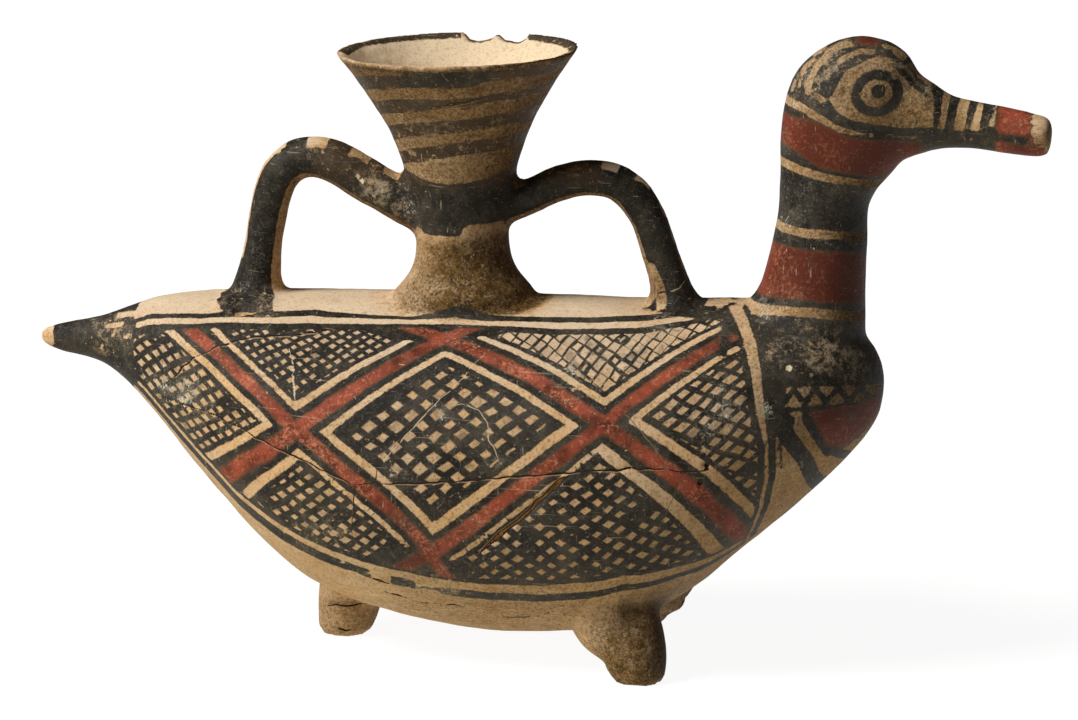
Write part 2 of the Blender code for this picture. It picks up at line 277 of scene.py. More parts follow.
# Soft lights: where they hang and how wide they are, in metres
STAGE_MIDDLE = (0.0, 0.0, 0.09)
KEY_PLACE = (-2.42, -1.6, 2.91)
KEY_SIZE = 1.9
KEY_COLOUR = (1.0, 0.99, 0.96)
FILL_PLACE = (-0.7, -1.0, -1.9)
FILL_SIZE = 3.2
FILL_COLOUR = (1.0, 0.88, 0.58)
SKY_COLOUR = (1.0, 0.88, 0.70, 1.0)

# Red bands over the body: where each crosses, in mm, by the girth angle in radians, and where it was read
FALLING_BAND_REAR = ((48.0, -37.93, -73.45, -42.2), -0.36, 0.75)
FALLING_BAND_FRONT = ((-9.65, -27.6, -35.64, 49.05), -0.75, 0.99)
RISING_BAND_REAR = ((17.07, 34.39, -73.79), -0.32, 0.99)
RISING_BAND_FRONT = ((2.34, 60.85, -1.16), -0.38, 1.00)
CROSSING_SEARCH = (-0.6, 0.9, 200)

# Half widths in mm from a band's middle: red, then black, then the buff frame and black before the trellis
RED_HALF = 2.15
FRAME_START = 4.3
TRELLIS_GAP = 1.5
MIDDLE_GAP = 3.0

# Width of the buff frames in mm on each band: before it and after it, above the crossing and then below
FRAME_WIDTHS = (
    ((2.9, 1.9), (1.6, 2.2)),
    ((2.1, 3.1), (1.8, 2.2)),
    ((1.9, 2.0), (2.2, 1.9)),
    ((2.8, 2.0), (1.4, 2.2)),
)

# Buff line under the back: along the body in mm, girth angle in degrees, its width, the black above it
BACK_LINE = (
    (-124.0, 30.0, 1.6, 1.6),
    (-115.0, 43.8, 2.1, 1.9),
    (-92.0, 56.4, 2.2, 2.3),
    (-64.0, 63.6, 3.4, 3.6),
    (-44.0, 65.0, 2.6, 2.0),
    (-25.6, 65.6, 2.2, 1.8),
    (-8.0, 65.6, 2.2, 3.0),
    (9.8, 65.95, 3.5, 3.5),
    (36.2, 67.9, 3.2, 3.6),
    (47.0, 71.0, 3.0, 4.0),
    (53.5, 74.5, 2.9, 5.0),
    (62.0, 79.0, 2.8, 4.5),
)
BACK_LINE_BLACK = 3.0

# Buff line over the belly: along the body in mm, girth angle in degrees, its width, the black under it
BELLY_LINE = (
    (-122.0, -30.0, 1.2, 3.0),
    (-104.0, -30.5, 1.6, 4.0),
    (-83.8, -32.4, 1.9, 4.6),
    (-73.6, -30.3, 2.1, 4.8),
    (-59.0, -29.9, 2.3, 4.4),
    (-45.0, -31.6, 2.7, 3.7),
    (-26.7, -32.8, 2.7, 4.2),
    (-9.0, -33.4, 3.3, 3.8),
    (9.6, -33.9, 3.8, 3.5),
    (33.3, -33.4, 3.7, 2.8),
    (50.2, -43.6, 3.5, 2.9),
    (61.0, -54.0, 2.6, 3.2),
    (66.0, -60.0, 1.8, 3.0),
)
BELLY_LINE_BLACK = 2.3

# Buff line before the breast: girth angle in degrees, along the body in mm, its width along the body
BREAST_LINE = (
    (-62.0, 66.8, 1.2),
    (-40.0, 71.4, 1.4),
    (-23.0, 73.2, 1.2),
    (-4.0, 73.5, 0.9),
    (15.8, 71.1, 2.4),
    (33.8, 69.3, 3.1),
    (53.7, 65.9, 3.9),
    (80.0, 60.0, 4.2),
)
BREAST_LINE_BLACK = 2.4
BREAST_SLANT = 1.15

# Trellis in each field between the bands: its steps one way and the other in mm, and the open share
MIDDLE_ACROSS = 52.0
OPEN_SHARE = 0.7
OPEN_SHARE_LOSS = 0.26
STEEPER = (0.85, 0.42)
TRELLIS_FIELDS = {
    "middle": (4.5, 4.4, 0.47),
    "upper rear": (3.1, 2.7, 0.44),
    "tail": (3.5, 3.3, 0.48),
    "lower rear": (3.8, 3.5, 0.45),
    "upper front": (3.6, 3.3, 0.74),
    "right": (4.0, 3.9, 0.52),
    "lower front": (4.1, 3.9, 0.42),
}


def linear(red, green, blue):
    """A colour given as 0 to 255 values, as light amounts with full opacity."""
    parts = []
    for value in (red, green, blue):
        share = value / 255
        parts.append(share / 12.92 if share <= 0.04045 else ((share + 0.055) / 1.055) ** 2.4)
    return (*parts, 1.0)


# Colours of clay and paint, as red, green and blue between 0 and 255
CLAY_LIGHT = linear(218, 194, 166)
CLAY_WARM = linear(218, 178, 130)
CLAY_DULL = linear(178, 142, 98)
# Brown of stained clay, also the colour of the painted shade under the belly, on the feet and round the stem
STAIN_AND_SHADE_BROWN = linear(120, 91, 45)
CLAY_PALE = linear(238, 218, 184)
SAND_BROWN = linear(126, 84, 46)
BLACK_PAINT = linear(25, 21, 15)
BLACK_DUSTY = linear(86, 79, 67)
BLACK_THIN = linear(92, 70, 44)
RED_PAINT = linear(160, 74, 50)
# Deep red, for thick paint and for the painted shade on the red
RED_DEEP = linear(88, 36, 18)
RED_RUBBED = linear(206, 132, 98)
CRUST = linear(226, 218, 200)
DUST_GREY = linear(176, 168, 152)
STAIN_BROWN = linear(66, 44, 18)
CLOUD_TAN = linear(196, 174, 142)
# Painted shadow in the cracks' dark cores
CRACK_SHADOW = linear(30, 19, 8)
CRACK_GOLD = linear(164, 118, 60)
# Painted highlight along the cracks' lit lower edges
CRACK_EDGE_HIGHLIGHT = linear(206, 168, 120)
FLOOR_GREY = linear(112, 112, 112)
RED_GROUND = 0.5

FAR_AWAY = 90.0

# Noise vectors differ from one run to the next unless their seed is set
STRAY_SEED = 7


def length_setting(name, description, default, least):
    return bpy.props.FloatProperty(
        name=name, description=description, default=default, min=least, unit="LENGTH"
    )


def colour_setting(name, description, default):
    return bpy.props.FloatVectorProperty(
        name=name, description=description, default=default, subtype="COLOR", size=4, min=0.0, max=1.0
    )


def power_setting(name, description, default):
    return bpy.props.FloatProperty(
        name=name, description=description, default=default, min=0.0, unit="POWER"
    )


class VesselForm(bpy.types.PropertyGroup):
    """Sizes of the vessel that a potter would choose"""

    wall: length_setting("Wall", "Thickness of the body's clay", 0.0042, 0.002)
    mouth_wall: length_setting("Mouth wall", "Thickness of the funnel's clay", MOUTH_WALL, 0.002)
    handle_thickness: length_setting(
        "Handle roll", "Thickness of the roll of clay in the handles", 0.0114, 0.006
    )
    foot_radius: length_setting("Foot radius", "Half thickness of a foot at its end", 0.0078, 0.004)
    voxel: length_setting(
        "Grain of the surface", "Spacing of the modelled surface's points", 0.00132, 0.001
    )


class VesselPaint(bpy.types.PropertyGroup):
    """Colours of the clay and the paints, and how worn they are"""

    clay_light: colour_setting("Light clay", "Clay where it is clean and dry", CLAY_LIGHT)
    clay_warm: colour_setting("Warm clay", "Clay where the firing left it orange", CLAY_WARM)
    clay_dull: colour_setting("Dull clay", "Clay that use and burial have darkened", CLAY_DULL)
    # Brown of stained clay, also used for painted shade under the belly, on the feet and round the stem
    stain_and_shade_brown: colour_setting(
        "Brown clay", "Clay under the belly, on the feet and round the stem", STAIN_AND_SHADE_BROWN
    )
    black: colour_setting("Black paint", "Matt black paint", BLACK_PAINT)
    red: colour_setting("Red paint", "Matt red paint", RED_PAINT)
    wear: bpy.props.FloatProperty(
        name="Wear", description="How much of the paint has rubbed off", subtype="FACTOR", default=0.5,
        min=0.0, max=1.0,
    )


class StageSetting(bpy.types.PropertyGroup):
    """Floor and light around the vessel"""

    floor_size: length_setting("Floor size", "Length of each side of the floor", 14.0, 1.0)
    floor_colour: colour_setting("Floor colour", "Colour of the floor", FLOOR_GREY)
    floor_glow: bpy.props.FloatProperty(
        name="Floor glow", description="How much the floor shines, which keeps its shadows pale",
        default=0.93, min=0.0,
    )
    key_power: power_setting("Key light", "Power of the main soft light", 205.0)
    fill_power: power_setting("Fill light", "Power of the light that the table throws back up", 44.0)
    sky: bpy.props.FloatProperty(
        name="Surrounding light", description="Strength of the white light all round", default=0.045,
        min=0.0,
    )


class Wiring:
    """Short ways to add the nodes of one tree and to join them."""

    def __init__(self, tree):
        self.tree = tree

    def add(self, kind, inputs=(), **settings):
        node = self.tree.nodes.new(kind)
        for name, value in settings.items():
            setattr(node, name, value)
        for name, value in dict(inputs).items():
            self.feed(node.inputs[name], value)
        return node

    def make(self, kind, inputs=(), **settings):
        return self.add(kind, inputs, **settings).outputs[0]

    def feed(self, socket, value):
        if isinstance(value, bpy.types.NodeSocket):
            self.tree.links.new(value, socket)
        else:
            socket.default_value = value

    def sum(self, operation, first, second=None, third=None, clamp=False):
        node = self.add("ShaderNodeMath", operation=operation, use_clamp=clamp)
        for place, value in enumerate((first, second, third)):
            if value is not None:
                self.feed(node.inputs[place], value)
        return node.outputs[0]

    def plus(self, first, second):
        return self.sum("ADD", first, second)

    def minus(self, first, second):
        return self.sum("SUBTRACT", first, second)

    def times(self, first, *others, clamp=False):
        for other in others:
            first = self.sum("MULTIPLY", first, other, clamp=clamp)
        return first

    def sloped(self, value, slope, start, clamp=False):
        return self.sum("MULTIPLY_ADD", value, slope, start, clamp=clamp)

    def larger(self, first, second):
        return self.sum("MAXIMUM", first, second)

    def smaller(self, first, second):
        return self.sum("MINIMUM", first, second)

    def size_of(self, value):
        return self.sum("ABSOLUTE", value)


def new_object(name, mesh):
    obj = bpy.data.objects.new(name, mesh)
    bpy.context.scene.collection.objects.link(obj)
    return obj


def remove(*objects):
    for obj in objects:
        bpy.data.objects.remove(obj, do_unlink=True)


def bake(obj):
    """Turns what the modifiers make into the object's own plain mesh."""
    bpy.context.view_layer.update()
    evaluated = obj.evaluated_get(bpy.context.evaluated_depsgraph_get())
    mesh = bpy.data.meshes.new_from_object(evaluated)
    obj.modifiers.clear()
    obj.data = mesh


def recalculate(mesh):
    form = bmesh.new()
    form.from_mesh(mesh)
    bmesh.ops.recalc_face_normals(form, faces=form.faces)
    form.to_mesh(mesh)
    form.free()


def smooth_lines(rows, steps):
    """Passes a monotone curve through the rows, by distance along them, and returns finer rows."""
    rows = np.array(rows, dtype=float)
    gaps = np.sqrt((np.diff(rows, axis=0) ** 2).sum(axis=1))
    place = np.concatenate(([0.0], np.cumsum(gaps)))
    fine = np.linspace(0.0, place[-1], steps)
    index = np.clip(np.searchsorted(place, fine, side="right") - 1, 0, len(place) - 2)
    step = place[index + 1] - place[index]
    share = (fine - place[index]) / step
    columns = []
    for column in rows.T:
        slope = np.diff(column) / gaps
        tangent = np.zeros(len(column))
        product = slope[:-1] * slope[1:]
        same_way = product > 0
        total = slope[:-1] + slope[1:]
        inner = np.where(same_way, 2.0 * product / np.where(same_way, total, 1.0), 0.0)
        tangent[1:-1] = inner
        tangent[0] = slope[0]
        tangent[-1] = slope[-1]
        start = (2 * share**3 - 3 * share**2 + 1) * column[index]
        start_pull = (share**3 - 2 * share**2 + share) * step * tangent[index]
        end = (-2 * share**3 + 3 * share**2) * column[index + 1]
        end_pull = (share**3 - share**2) * step * tangent[index + 1]
        columns.append(start + start_pull + end + end_pull)
    return np.stack(columns, axis=1)


def loft(name, rings):
    """Skins a row of closed rings, each with the same number of points, and caps both ends."""
    form = bmesh.new()
    levels = []
    for ring in rings:
        levels.append([form.verts.new(point) for point in ring])
    count = len(levels[0])
    for low, high in zip(levels, levels[1:]):
        for i in range(count):
            j = (i + 1) % count
            form.faces.new((low[i], low[j], high[j], high[i]))
    form.faces.new(levels[0][::-1])
    form.faces.new(levels[-1])
    bmesh.ops.recalc_face_normals(form, faces=form.faces)
    mesh = bpy.data.meshes.new(name)
    form.to_mesh(mesh)
    form.free()
    return new_object(name, mesh)


def oval(angle, power):
    """A point of an oval one unit in radius; a power above two makes it squarer."""
    c = math.cos(angle)
    s = math.sin(angle)
    return (
        math.copysign(abs(c) ** (2.0 / power), c),
        math.copysign(abs(s) ** (2.0 / power), s),
    )


def body_rings(inset, start, end, steps, points):
    rings = []
    for along, low, high, width in smooth_lines(BODY_LINES, steps):
        if along < start or along > end + TINY:
            continue
        x = TAIL_X + BODY_LENGTH * along
        foot = BELLY_CLEARANCE + BODY_HEIGHT * low + inset
        top = BELLY_CLEARANCE + BODY_HEIGHT * high - inset
        half_width = BODY_WIDTH * width / 2 - inset
        half_height = (top - foot) / 2
        middle = (top + foot) / 2
        ring = []
        for i in range(points):
            across, up = oval(2 * math.pi * i / points, BODY_FULLNESS)
            ring.append((x, half_width * across, middle + half_height * up))
        rings.append(ring)
    return rings


def neck_rings(inset, start, end, steps, points):
    height = HEAD_TOP_Z - NECK_FOOT_Z
    rings = []
    for share, back, front, width in smooth_lines(NECK_LINES, steps):
        if share < start or share > end + TINY:
            continue
        rear = NECK_X + NECK_DEPTH * back + inset
        fore = NECK_X + NECK_DEPTH * front - inset
        half_width = NECK_WIDTH * width / 2 - inset
        ring = []
        for i in range(points):
            along, across = oval(2 * math.pi * i / points, 2.0)
            x = (rear + fore) / 2 + along * (fore - rear) / 2
            ring.append((x, half_width * across, NECK_FOOT_Z + height * share))
        rings.append(ring)
    return rings


def beak_rings(steps, points):
    rings = []
    for along, low, high, width in smooth_lines(BEAK_LINES, steps):
        x = BEAK_ROOT_X + BEAK_LENGTH * along
        foot = BEAK_FOOT_Z + BEAK_HEIGHT * low
        top = BEAK_FOOT_Z + BEAK_HEIGHT * high
        ring = []
        for i in range(points):
            across, up = oval(2 * math.pi * i / points, 2.0)
            y = across * BEAK_HEIGHT * width / 2
            ring.append((x, y, (top + foot) / 2 + up * (top - foot) / 2))
        rings.append(ring)
    return rings


def new_tree(name, sizes, counts):
    """A Geometry Nodes tree with named sizes and counts, each with its usual value, and a clay."""
    tree = bpy.data.node_groups.new(name, "GeometryNodeTree")
    tree.interface.new_socket(name="Geometry", in_out="INPUT", socket_type="NodeSocketGeometry")
    tree.interface.new_socket(name="Geometry", in_out="OUTPUT", socket_type="NodeSocketGeometry")
    for kind, usual_values in (("NodeSocketFloat", sizes), ("NodeSocketInt", counts)):
        for label, usual in usual_values.items():
            socket = tree.interface.new_socket(name=label, in_out="INPUT", socket_type=kind)
            socket.default_value = usual
    tree.interface.new_socket(name="Clay", in_out="INPUT", socket_type="NodeSocketMaterial")
    return tree


def grow(obj, tree, values):
    """Runs a tree on an object with the named values, and keeps the plain mesh that it makes."""
    modifier = obj.modifiers.new(tree.name, "NODES")
    modifier.node_group = tree
    for item in tree.interface.items_tree:
        if item.in_out == "INPUT" and item.name in values:
            modifier[item.identifier] = values[item.name]
    bake(obj)
    recalculate(obj.data)


def finish_tree(wires, skin, clay):
    skin = wires.make("GeometryNodeRealizeInstances", {"Geometry": skin})
    skin = wires.make("GeometryNodeSetMaterial", {"Geometry": skin, "Material": clay})
    wires.add("NodeGroupOutput", {"Geometry": skin})


def swept(wires, path, profile, scale):
    inputs = {"Curve": path, "Profile Curve": profile, "Scale": scale, "Fill Caps": True}
    return wires.make("GeometryNodeCurveToMesh", inputs)


def roll_tree():
    """A roll of clay along a path of points, which swells where the points' swell is above one."""
    sizes = {"Thickness": 0.011, "Flattening": 1.0, "Gap between rings": ROLL_GAP}
    tree = new_tree("Roll of clay", sizes, {"Points around": ROLL_POINTS})
    wires = Wiring(tree)
    given = wires.add("NodeGroupInput").outputs
    path = wires.make("GeometryNodeMeshToCurve", {"Mesh": given["Geometry"]})
    path = wires.make("GeometryNodeCurveSplineType", {"Curve": path}, spline_type="BEZIER")
    path = wires.make("GeometryNodeCurveSetHandles", {"Curve": path}, handle_type="AUTO")
    spacing = {"Curve": path, "Length": given["Gap between rings"]}
    path = wires.make("GeometryNodeResampleCurve", spacing, mode="LENGTH")
    around = {"Resolution": given["Points around"], "Radius": wires.times(given["Thickness"], 0.5)}
    ring = wires.make("GeometryNodeCurvePrimitiveCircle", around, mode="RADIUS")
    swell = wires.make("GeometryNodeInputNamedAttribute", {"Name": "swell"}, data_type="FLOAT")
    skin = swept(wires, path, ring, swell)
    flat = wires.make("ShaderNodeCombineXYZ", {"X": 1.0, "Y": given["Flattening"], "Z": 1.0})
    skin = wires.make("GeometryNodeTransform", {"Geometry": skin, "Scale": flat})
    skin = wires.make("GeometryNodeMergeByDistance", {"Geometry": skin, "Distance": MERGE_DISTANCE})
    finish_tree(wires, skin, given["Clay"])
    return tree


def turning_tree():
    """A turned funnel: straight stem, spread foot and flared mouth, less an inset where it is the cup."""
    sizes = {
        "Low end": 0.0,
        "High end": FUNNEL_HEIGHT,
        "Funnel height": FUNNEL_HEIGHT,
        "Stem radius": STEM_RADIUS,
        "Stem height": STEM_HEIGHT,
        "Mouth radius": MOUTH_RADIUS,
        "Inset": 0.0,
        "Lip thinning": 0.0,
        "Least radius": 0.0,
    }
    tree = new_tree("Turned funnel", sizes, {"Rings": FUNNEL_RINGS, "Points around": FUNNEL_POINTS})
    wires = Wiring(tree)
    given = wires.add("NodeGroupInput").outputs
    low = wires.make("ShaderNodeCombineXYZ", {"Z": given["Low end"]})
    high = wires.make("ShaderNodeCombineXYZ", {"Z": given["High end"]})
    axis = wires.make("GeometryNodeCurvePrimitiveLine", {"Start": low, "End": high})
    axis = wires.make("GeometryNodeResampleCurve", {"Curve": axis, "Count": given["Rings"]}, mode="COUNT")
    place = wires.make("GeometryNodeInputPosition")
    level = wires.add("ShaderNodeSeparateXYZ", {"Vector": place}).outputs[2]
    above = wires.minus(level, given["Stem height"])
    reach = wires.minus(given["Funnel height"], given["Stem height"])
    rise = wires.larger(wires.sum("DIVIDE", above, reach), 0.0)
    flare = wires.minus(given["Mouth radius"], given["Stem radius"])
    flared = wires.times(wires.sum("POWER", rise, FLARE_POWER), flare)
    fall = wires.larger(wires.sum("DIVIDE", wires.times(above, -1.0), given["Stem height"]), 0.0)
    fall = wires.sum("POWER", fall, STEM_SPREAD_POWER)
    spread = wires.smaller(wires.times(fall, STEM_SPREAD), STEM_ROOT_RADIUS - STEM_RADIUS)
    radius = wires.plus(wires.plus(given["Stem radius"], flared), spread)
    thinned = wires.times(wires.sum("POWER", rise, LIP_POWER), given["Lip thinning"])
    radius = wires.plus(wires.minus(radius, given["Inset"]), thinned)
    radius = wires.larger(radius, given["Least radius"])
    around = {"Resolution": given["Points around"], "Radius": 1.0}
    ring = wires.make("GeometryNodeCurvePrimitiveCircle", around, mode="RADIUS")
    moved = {
        "Geometry": swept(wires, axis, ring, radius),
        "Translation": (FUNNEL_X, 0.0, FUNNEL_FOOT_Z),
        "Rotation": (0.0, -FUNNEL_LEAN, 0.0),
    }
    finish_tree(wires, wires.make("GeometryNodeTransform", moved), given["Clay"])
    return tree


def roll(name, tree, points, swells, thickness, flattening, clay):
    mesh = bpy.data.meshes.new(name)
    mesh.from_pydata(points, [(i, i + 1) for i in range(len(points) - 1)], [])
    mesh.attributes.new("swell", "FLOAT", "POINT").data.foreach_set("value", swells)
    obj = new_object(name, mesh)
    grow(obj, tree, {"Thickness": thickness, "Flattening": flattening, "Clay": clay})
    return obj


def handle_path(base_x, rise, places):
    back_z = BELLY_CLEARANCE + BODY_HEIGHT
    way = math.copysign(1.0, FUNNEL_X - base_x)
    return [(base_x + way * HANDLE_SPAN * along, 0.0, back_z + rise * up) for along, up, _ in places]


def foot_path(x, y, root_x, way, foot_radius):
    points = [(x + (root_x - x) * lean, y * side, FOOT_ROOT_Z * up) for lean, side, up, _ in way]
    points.append((x, y, -foot_radius / 3))
    swells = [wide * FOOT_ROOT_RADIUS / foot_radius for _, _, _, wide in way]
    swells.append(FOOT_END_SHARE)
    return points, swells


def gather(name, objects):
    """One object that holds the meshes of all the others, which go."""
    form = bmesh.new()
    for obj in objects:
        form.from_mesh(obj.data)
    mesh = bpy.data.meshes.new(name)
    form.to_mesh(mesh)
    form.free()
    remove(*objects)
    return new_object(name, mesh)


def remesh(obj, voxel):
    modifier = obj.modifiers.new("Grow together", "REMESH")
    modifier.mode = "VOXEL"
    modifier.voxel_size = voxel


def soften(obj, rounds):
    modifier = obj.modifiers.new("Soften", "SMOOTH")
    modifier.factor = 0.5
    modifier.iterations = rounds


def cut(obj, cutter):
    modifier = obj.modifiers.new("Cut", "BOOLEAN")
    modifier.operation = "DIFFERENCE"
    modifier.solver = "EXACT"
    modifier.object = cutter
    bake(obj)
    remove(cutter)


def level_feet(obj):
    """Cuts the feet off flat where they stand."""
    form = bmesh.new()
    form.from_mesh(obj.data)
    geometry = form.verts[:] + form.edges[:] + form.faces[:]
    sliced = bmesh.ops.bisect_plane(
        form, geom=geometry, plane_co=(0.0, 0.0, 0.0), plane_no=(0.0, 0.0, -1.0), clear_outer=True
    )
    rims = [part for part in sliced["geom_cut"] if isinstance(part, bmesh.types.BMEdge)]
    bmesh.ops.holes_fill(form, edges=rims)
    bmesh.ops.recalc_face_normals(form, faces=form.faces)
    form.to_mesh(obj.data)
    form.free()


def outer_form(form_sizes, clay):
    """Body, neck, beak, funnel, handles and feet grown into one skin, with the cup cut in."""
    rolls = roll_tree()
    turning = turning_tree()
    shapes = [
        loft("body", body_rings(0.0, 0.0, 1.0, BODY_STEPS, RING_POINTS)),
        loft("neck", neck_rings(0.0, 0.0, 1.0, NECK_STEPS, RING_POINTS)),
        loft("beak", beak_rings(BEAK_STEPS, BEAK_POINTS)),
    ]
    funnel = new_object("funnel", bpy.data.meshes.new("funnel"))
    grow(funnel, turning, {"Low end": FUNNEL_ROOT, "Clay": clay})
    shapes.append(funnel)
    for name, base_x, rise, places in HANDLES:
        swells = [swell for _, _, swell in places]
        points = handle_path(base_x, rise, places)
        thickness = form_sizes.handle_thickness
        shapes.append(roll(name, rolls, points, swells, thickness, HANDLE_FLATTENING, clay))
    radius = form_sizes.foot_radius
    for name, x, y, root_x, way in FEET:
        points, swells = foot_path(x, y, root_x, way, radius)
        shapes.append(roll(name, rolls, points, swells, radius * 2, 1.0, clay))
    vessel = gather("vessel", shapes)
    remesh(vessel, FIRST_VOXEL)
    bake(vessel)
    level_feet(vessel)
    cup = new_object("cup", bpy.data.meshes.new("cup"))
    values = {
        "Low end": STEM_HEIGHT / 2,
        "High end": FUNNEL_HEIGHT + CUP_MARGIN,
        "Inset": form_sizes.mouth_wall,
        "Lip thinning": LIP_THINNING,
        "Least radius": BORE_RADIUS,
        "Clay": clay,
    }
    grow(cup, turning, values)
    cut(vessel, cup)
    remesh(vessel, form_sizes.voxel)
    soften(vessel, SOFTENING_ROUNDS)
    bake(vessel)
    return vessel


def hollow_form(form_sizes, clay):
    """The belly's and the neck's hollow and the throat that leads to them, as a plain cutter."""
    wall = form_sizes.wall
    belly_reach = (wall, HOLLOW_START_SHARE, HOLLOW_END_SHARE)
    belly = loft("hollow", body_rings(*belly_reach, HOLLOW_STEPS, HOLLOW_POINTS))
    neck_reach = (wall, NECK_HOLLOW_START_SHARE, NECK_HOLLOW_END_SHARE)
    neck = loft("neck hollow", neck_rings(*neck_reach, NECK_HOLLOW_STEPS, NECK_HOLLOW_POINTS))
    throat = new_object("throat", bpy.data.meshes.new("throat"))
    values = {
        "Low end": THROAT_LOW_END,
        "High end": STEM_HEIGHT * THROAT_SHARE,
        "Inset": STEM_RADIUS,
        "Least radius": BORE_RADIUS,
        "Clay": clay,
    }
    grow(throat, bpy.data.node_groups["Turned funnel"], values)
    for shape in (neck, throat):
        modifier = belly.modifiers.new("Join", "BOOLEAN")
        modifier.operation = "UNION"
        modifier.solver = "EXACT"
        modifier.object = shape
        bake(belly)
        remove(shape)
    return belly


def points_of(mesh):
    """The mesh's points in millimetres, one row each."""
    flat = np.empty(len(mesh.vertices) * 3)
    mesh.vertices.foreach_get("co", flat)
    return flat.reshape(-1, 3) / MM


def normals_of(mesh):
    flat = np.empty(len(mesh.vertices) * 3)
    mesh.vertex_normals.foreach_get("vector", flat)
    return flat.reshape(-1, 3)


def put_points(mesh, points):
    mesh.vertices.foreach_set("co", (points * MM).ravel())
    mesh.update()


def ripple(points, size, seed):
    """Smooth noise of about plus and minus one at each point, with the given size in mm."""
    shift = Vector((seed * 17.3, seed * 5.1, seed * 9.7))
    return np.array([noise.noise(Vector(point) / size + shift) for point in points])


def wander(points, size, seed):
    """Smooth noise vectors at each point, with the given size in mm."""
    shift = Vector((seed * 11.9, seed * 3.7, seed * 7.3))
    return np.array([noise.noise_vector(Vector(point) / size + shift) for point in points])


def soft_step(value, low, high):
    share = np.clip((value - low) / (high - low), 0.0, 1.0)
    return share * share * (3 - 2 * share)


class BodyLines:
    """The body's section at any place along it, in millimetres."""

    def __init__(self):
        self.rows = smooth_lines(BODY_LINES, LINE_ROWS)

    def at(self, x):
        along = (x * MM - TAIL_X) / BODY_LENGTH
        low = np.interp(along, self.rows[:, 0], self.rows[:, 1])
        high = np.interp(along, self.rows[:, 0], self.rows[:, 2])
        width = np.interp(along, self.rows[:, 0], self.rows[:, 3])
        low = (BELLY_CLEARANCE + BODY_HEIGHT * low) / MM
        high = (BELLY_CLEARANCE + BODY_HEIGHT * high) / MM
        return (low + high) / 2, (high - low) / 2, np.maximum(BODY_WIDTH * width / 2 / MM, 0.5)

    def side(self, x, z):
        """How far out the near side is at a place and a height."""
        middle, half_height, half_width = self.at(x)
        up = np.clip(abs(z - middle) / half_height, 0.0, 0.999)
        return -half_width * (1 - up**BODY_FULLNESS) ** (1 / BODY_FULLNESS)


def funnel_place(points):
    """Height up the funnel's leaning axis, distance from it, and the angle round it from the front."""
    lean = FUNNEL_LEAN
    local = points - np.array((FUNNEL_X / MM, 0.0, FUNNEL_FOOT_Z / MM))
    height = local[:, 2] * math.cos(lean) - local[:, 0] * math.sin(lean)
    across = local[:, 0] * math.cos(lean) + local[:, 2] * math.sin(lean)
    round_angle = np.arctan2(local[:, 1], across)
    return height, np.hypot(across, local[:, 1]), round_angle


def funnel_radius(height):
    """Outer radius of the funnel at heights in millimetres."""
    above = height * MM - STEM_HEIGHT
    rise = np.clip(above / (FUNNEL_HEIGHT - STEM_HEIGHT), 0.0, 1.1)
    fall = np.clip(-above / STEM_HEIGHT, 0.0, 1.0)
    spread = np.minimum(STEM_SPREAD * fall**STEM_SPREAD_POWER, STEM_ROOT_RADIUS - STEM_RADIUS)
    return (STEM_RADIUS + (MOUTH_RADIUS - STEM_RADIUS) * rise**FLARE_POWER + spread) / MM


def from_path(points, path):
    """Distance of each point from a path of straight steps, and how far along it the nearest place is."""
    best = np.full(len(points), 1e9)
    along = np.zeros(len(points))
    passed = 0.0
    path = np.array(path, dtype=float)
    for start, end in zip(path, path[1:]):
        step = end - start
        length = np.linalg.norm(step)
        share = np.clip((points - start) @ step / length**2, 0.0, 1.0)
        distance = np.linalg.norm(points - start - share[:, None] * step, axis=1)
        nearer = distance < best
        best = np.where(nearer, distance, best)
        along = np.where(nearer, passed + share * length, along)
        passed += length
    return best, along


def patch(points, corners):
    """How far inside a patch with straight sides each point is, in the plane of the two columns."""
    corners = np.array(corners, dtype=float)
    closed = np.vstack((corners, corners[:1]))
    distance, _ = from_path(points, closed)
    crossings = np.zeros(len(points), dtype=int)
    for start, end in zip(closed, closed[1:]):
        spans = (start[1] > points[:, 1]) != (end[1] > points[:, 1])
        rise = end[1] - start[1] if end[1] != start[1] else 1e-9
        edge = start[0] + (points[:, 1] - start[1]) / rise * (end[0] - start[0])
        crossings += spans & (points[:, 0] < edge)
    return np.where(crossings % 2 == 1, distance, -distance)


def line(distance, width):
    """How far inside a painted line each point is, from its distance to the line's middle."""
    return width / 2 - abs(distance)


def both(*areas):
    return np.minimum.reduce(areas)


